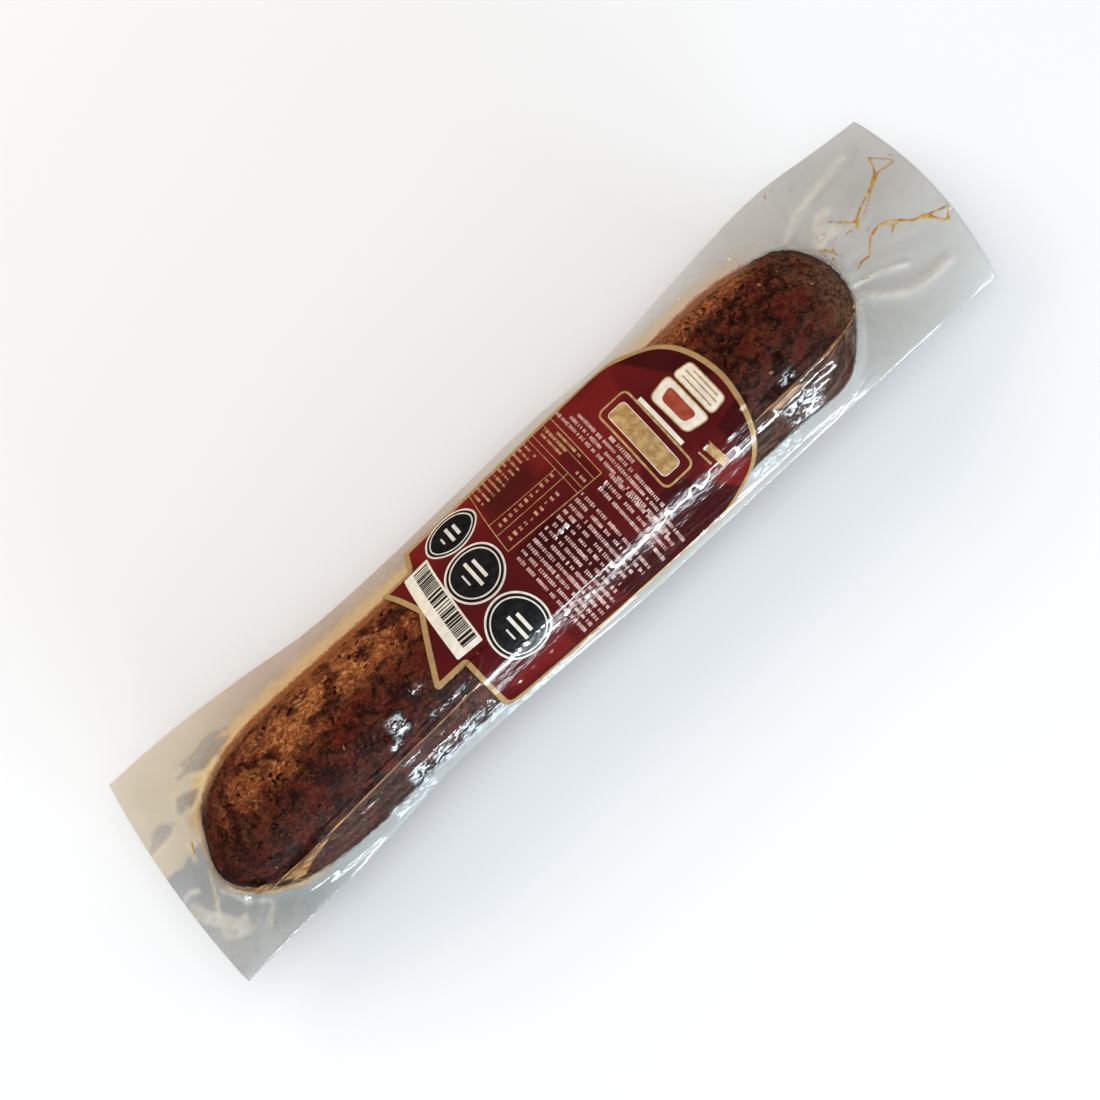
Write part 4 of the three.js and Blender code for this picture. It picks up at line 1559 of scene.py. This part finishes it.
OIL_STREAKS = [
    [(97.4, 10, 0.5), (98.8, 8.6, 0.7), (100.3, 7, 1.0), (101.4, 6.9, 1.3), (103.4, 8.2, 0.7),
     (106, 9.2, 0.7), (109, 10.2, 1.0), (111, 11.1, 1.5), (112.6, 12.5, 0.8), (113.6, 14.2, 0.6),
     (114.3, 15.7, 1.0)],
    [(100.3, 5.2, 0.8), (101, 6.4, 1.1)],
    [(103.4, 6.9, 0.4), (106.2, 8.2, 0.4), (109, 10, 0.5)],
    [(111, 11.3, 1.2), (113.2, 11.8, 0.7), (114.9, 11.5, 0.6), (117.4, 11.3, 0.7)],
    [(114.3, 15.7, 0.5), (116, 13.8, 0.4), (117.6, 11.6, 0.4)],
    [(93.9, -1.4, 0.5), (95.9, -0.8, 0.7), (98, -1, 0.7), (99.5, 0.6, 0.7), (101.1, 1.9, 0.9),
     (103.8, 2.6, 0.9), (105.7, 2.3, 0.9), (107.4, 1.2, 0.7), (108.8, 0.2, 0.8), (110.3, -1.4, 0.9),
     (112, -2.3, 1.0), (113.6, -2.9, 1.5), (114.8, -4.2, 0.9), (115.7, -5.6, 0.7),
     (117.2, -7.1, 1.2), (118.2, -5.8, 0.7), (119, -5, 0.7)],
    [(113.6, -2.9, 1.0), (116.4, -3.8, 0.6), (119, -4.6, 0.7)],
    [(106.6, 0.2, 0.9), (105.3, -0.6, 0.4)], [(105.7, 2.3, 0.6), (107, 0.2, 0.7), (108.8, 0, 0.7)],
    [(101.2, 3.4, 0.4), (102.4, 3.9, 0.5)], [(93, -3.6, 0.5), (94.6, -4.4, 0.5)],
    [(90.2, 7.4, 0.6), (91.2, 6.3, 0.9), (92.2, 5.2, 0.7), (92.6, 3.8, 0.5)],
    [(96.2, 11.2, 0.5), (97.6, 9.6, 0.6), (99.2, 8.6, 0.5)], [(97.2, 6.4, 0.4), (99, 6, 0.5)],
    [(86.4, -7.2, 0.8), (88, -6.4, 0.6)],
    [(-110, 2.6, 0.5), (-109.3, 3.6, 0.7), (-108.6, 4.4, 0.4)],
]
OIL_DOTS = [
    (118.1, 12.8, 0.5), (89.4, 25.1, 0.6), (95, 22.5, 0.5), (75.5, 19.9, 0.6), (-32.3, 20.2, 0.6),
    (92.6, 5.2, 0.7), (91.2, 3.9, 0.8), (90.4, 5.6, 0.6), (93.2, 3.2, 0.4), (94.8, 6.6, 0.4),
    (-108.5, -8.6, 0.7), (-104.2, -13.2, 0.8),
]
FAT_BLOTS = [
    [(73.1, 18.8), (74.4, 19), (74.2, 20.6), (73.6, 21.2), (73.2, 20.2), (72.6, 20.4)],
    [(58.2, 20.4), (59.6, 20.5), (59.4, 21.3), (58.5, 21.2)],
    [(90.8, 8.2), (93.2, 8.4), (94.4, 9.8), (92.6, 10.9), (91, 10.3)],
    [(89.4, 1.6), (90.8, 2.2), (91.4, 4.2), (90.2, 4.4), (89.8, 3)],
    [(-107.8, -20.4), (-106, -20.2), (-105.4, -21.4), (-107.2, -22.4)],
]
LENS_WEBS = [
    [(-98.2, -15.2), (-92, -15.1), (-86, -14.9), (-80.6, -14.7), (-84.5, -15.9), (-89.5, -17),
     (-93.6, -18.4), (-96, -17.6)],
    [(55.3, -11.3), (60, -11), (64.5, -11), (68.4, -12.6), (64, -13), (59, -13), (56.4, -12.6)],
    [(-108.8, -8.2), (-105, -11.4), (-98.6, -14.8), (-101, -15.2), (-103.2, -14.4), (-106.4, -11.4)],
    [(-27, -13.2), (-20, -12.9), (-16, -13.2), (-21, -14.2)],
]


BEAD_SPACING = 0.5
BEAD_SIDES = 8


def bead_tree():
    """A bead of even roundness along a path, whose width follows the path's radius."""
    t = Tree("bead_on_path", [
        ("Spacing", "NodeSocketFloat"), ("Sides", "NodeSocketInt"),
        ("Material", "NodeSocketMaterial"),
    ])
    even = t.add("GeometryNodeResampleCurve", {
        "Curve": t.given["Geometry"], "Length": t.given["Spacing"],
    }, mode="LENGTH")
    ring = t.add("GeometryNodeCurvePrimitiveCircle", {"Resolution": t.given["Sides"], "Radius": 1.0})
    radius = t.add("GeometryNodeInputRadius")
    body = t.add("GeometryNodeCurveToMesh", {
        "Curve": even.outputs[0], "Profile Curve": ring.outputs[0],
        "Scale": radius.outputs[0], "Fill Caps": True,
    })
    t.finish(body.outputs[0], t.given["Material"])
    return t.tree


def run_bead(tree, points):
    """The bead's plain mesh along points (x, round, width)."""
    line = bpy.data.curves.new("path", "CURVE")
    line.dimensions = "3D"
    spline = line.splines.new("POLY")
    spline.points.add(len(points) - 1)
    for point, (x, around, width) in zip(spline.points, points):
        point.co = (x, around, 0, 1)
        point.radius = width / 2
    return run_tree(tree, {"Spacing": BEAD_SPACING, "Sides": BEAD_SIDES}, line)


def lay_bead(marks, tree, points, flatten=0.4):
    """Lays a bead along points (x, y, width) seen from above."""
    points = np.array(smooth_path(points, 0.7), float)
    places = film_place(points[:, 0], points[:, 1])
    mesh = run_bead(tree, [(x, around, width) for (x, around), width in zip(places, points[:, 2])])
    for vertex in mesh.vertices:
        vertex.co.z *= flatten
    marks.mesh(mesh)


def oil_finish():
    """Golden oil, clearer where it lies thin."""
    f = Finish("paprika_oil")
    base = f.mix(f.step(f.noise(1.4, 4, 0.6), 0.35, 0.65), linear(182, 124, 44), linear(218, 178, 106))
    f.put(f.shader.inputs["Base Color"], base)
    f.shader.inputs["Roughness"].default_value = 0.22
    f.bump(f.noise(0.8, 3), 0.072)
    f.see_through(f.range(f.noise(1.1, 3), 0.35, 0.6, 0.55, 0.95))
    return f.material


def fat_finish():
    """Milky fat that thins out at its torn rim."""
    f = Finish("milky_fat")
    base = f.mix(f.step(f.noise(1.2, 4, 0.6), 0.35, 0.65), linear(206, 190, 160), linear(240, 234, 216))
    f.put(f.shader.inputs["Base Color"], base)
    f.shader.inputs["Roughness"].default_value = 0.35
    f.bump(f.noise(0.7, 4), 0.14)
    f.see_through(f.product(f.step(f.ragged(f.attribute("rim"), 1.2, 0.7), 0.98, 0.1), 0.75))
    return f.material


def crease_finish():
    """Golden film folded on itself, light where it is thick and clear at its edge."""
    f = Finish("golden_crease")
    streaks = f.noise(0.8, 4, 0.6, stretch=(8, 1, 1))
    base = f.mix(f.step(streaks, 0.35, 0.65), linear(120, 76, 40), linear(196, 148, 92))
    f.put(f.shader.inputs["Base Color"], base)
    f.shader.inputs["Roughness"].default_value = 0.4
    f.bump(streaks, 0.06)
    solid = f.step(f.ragged(f.attribute("rim"), 1.4, 0.5), 1.02, 0.6)
    f.see_through(f.product(solid, f.range(streaks, 0.3, 0.7, 0.5, 1.0)))
    return f.material


# The folds along the crease: (flattening, points (x, y, width)).
FOLD_LINES = [
    (0.5, [(-101.5, -15.4, 0.3), (-98.4, -14.9, 0.6), (-92, -14.9, 0.55), (-86, -14.8, 0.5),
           (-80, -14.5, 0.55), (-70, -14, 0.45), (-60, -13.6, 0.5), (-50, -13.2, 0.4),
           (-40, -12.8, 0.5), (-33.6, -12.5, 0.4)]),
    (0.5, [(52, -11.2, 0.35), (58, -10.9, 0.5), (64, -10.7, 0.5), (70, -10.6, 0.45),
           (76.5, -10.3, 0.7), (82, -9.4, 0.4), (86, -8, 0.35), (89, -6, 0.3)]),
    (0.6, [(-100, -16.3, 0.2), (-96, -17.6, 0.25), (-93, -18.9, 0.2)]),
    (0.6, [(66, -13, 0.2), (72, -12.4, 0.25), (78, -11, 0.2)]),
]


def make_creases(tree):
    """The long fold of film along the crust's lower side, with the oil webs beside it."""
    fold = Marks(on_film, lift=-0.05)
    for flatten, points in FOLD_LINES:
        lay_bead(fold, tree, points, flatten)
    webs = Marks(on_film, thick=0.12)
    for corners in LENS_WEBS:
        webs.fill(dense(rounded(through(film_place, corners), 0.3), 0.7), 5)
    golden = crease_finish()
    return [
        fold.piece("film_fold_line", golden, "clear_film", True),
        webs.piece("oil_webs", golden, "clear_film", True),
    ]


# The share of the widest width that the streaks of oil have.
STREAK_SHARE = 0.75


def make_streaks(tree):
    """Streaks and dots of oil, and blots of fat, along the crust's edge."""
    oil = Marks(on_film, lift=-0.04)
    for streak in OIL_STREAKS:
        lay_bead(oil, tree, [(x, y, STREAK_SHARE * width) for x, y, width in streak])
    for x, y, width in OIL_DOTS:
        lay_bead(oil, tree, [(x - width * 0.3, y, width), (x + width * 0.3, y + 0.1, width * 0.9)])
    fat = Marks(on_film, thick=0.06)
    for corners in FAT_BLOTS:
        fat.fill(dense(rounded(through(film_place, corners), 0.35), 0.5), 4)
    return [
        oil.piece("oil_streaks", oil_finish(), "clear_film", True),
        fat.piece("fat_blots", fat_finish(), "clear_film", True),
    ]


# ---- Main ----

def main():
    make_camera()
    make_floor()
    make_lights()
    sausage = make_sausage()
    top = make_film("upper_web", "top_film", 1, 350, 140)
    top.data.materials.append(film_finish("clear_gloss_film", 0.54, 0.16))
    back = make_film("lower_web", "back_film", -1, 220, 100)
    back.data.materials.append(film_finish("clear_lower_film", 0.36, 0.1))
    beads = bead_tree()
    pieces = [sausage, make_crumbs(sausage), top, back, make_label()]
    pieces += make_print() + make_creases(beads) + make_streaks(beads)
    for piece in pieces:
        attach(piece, "root")


main()
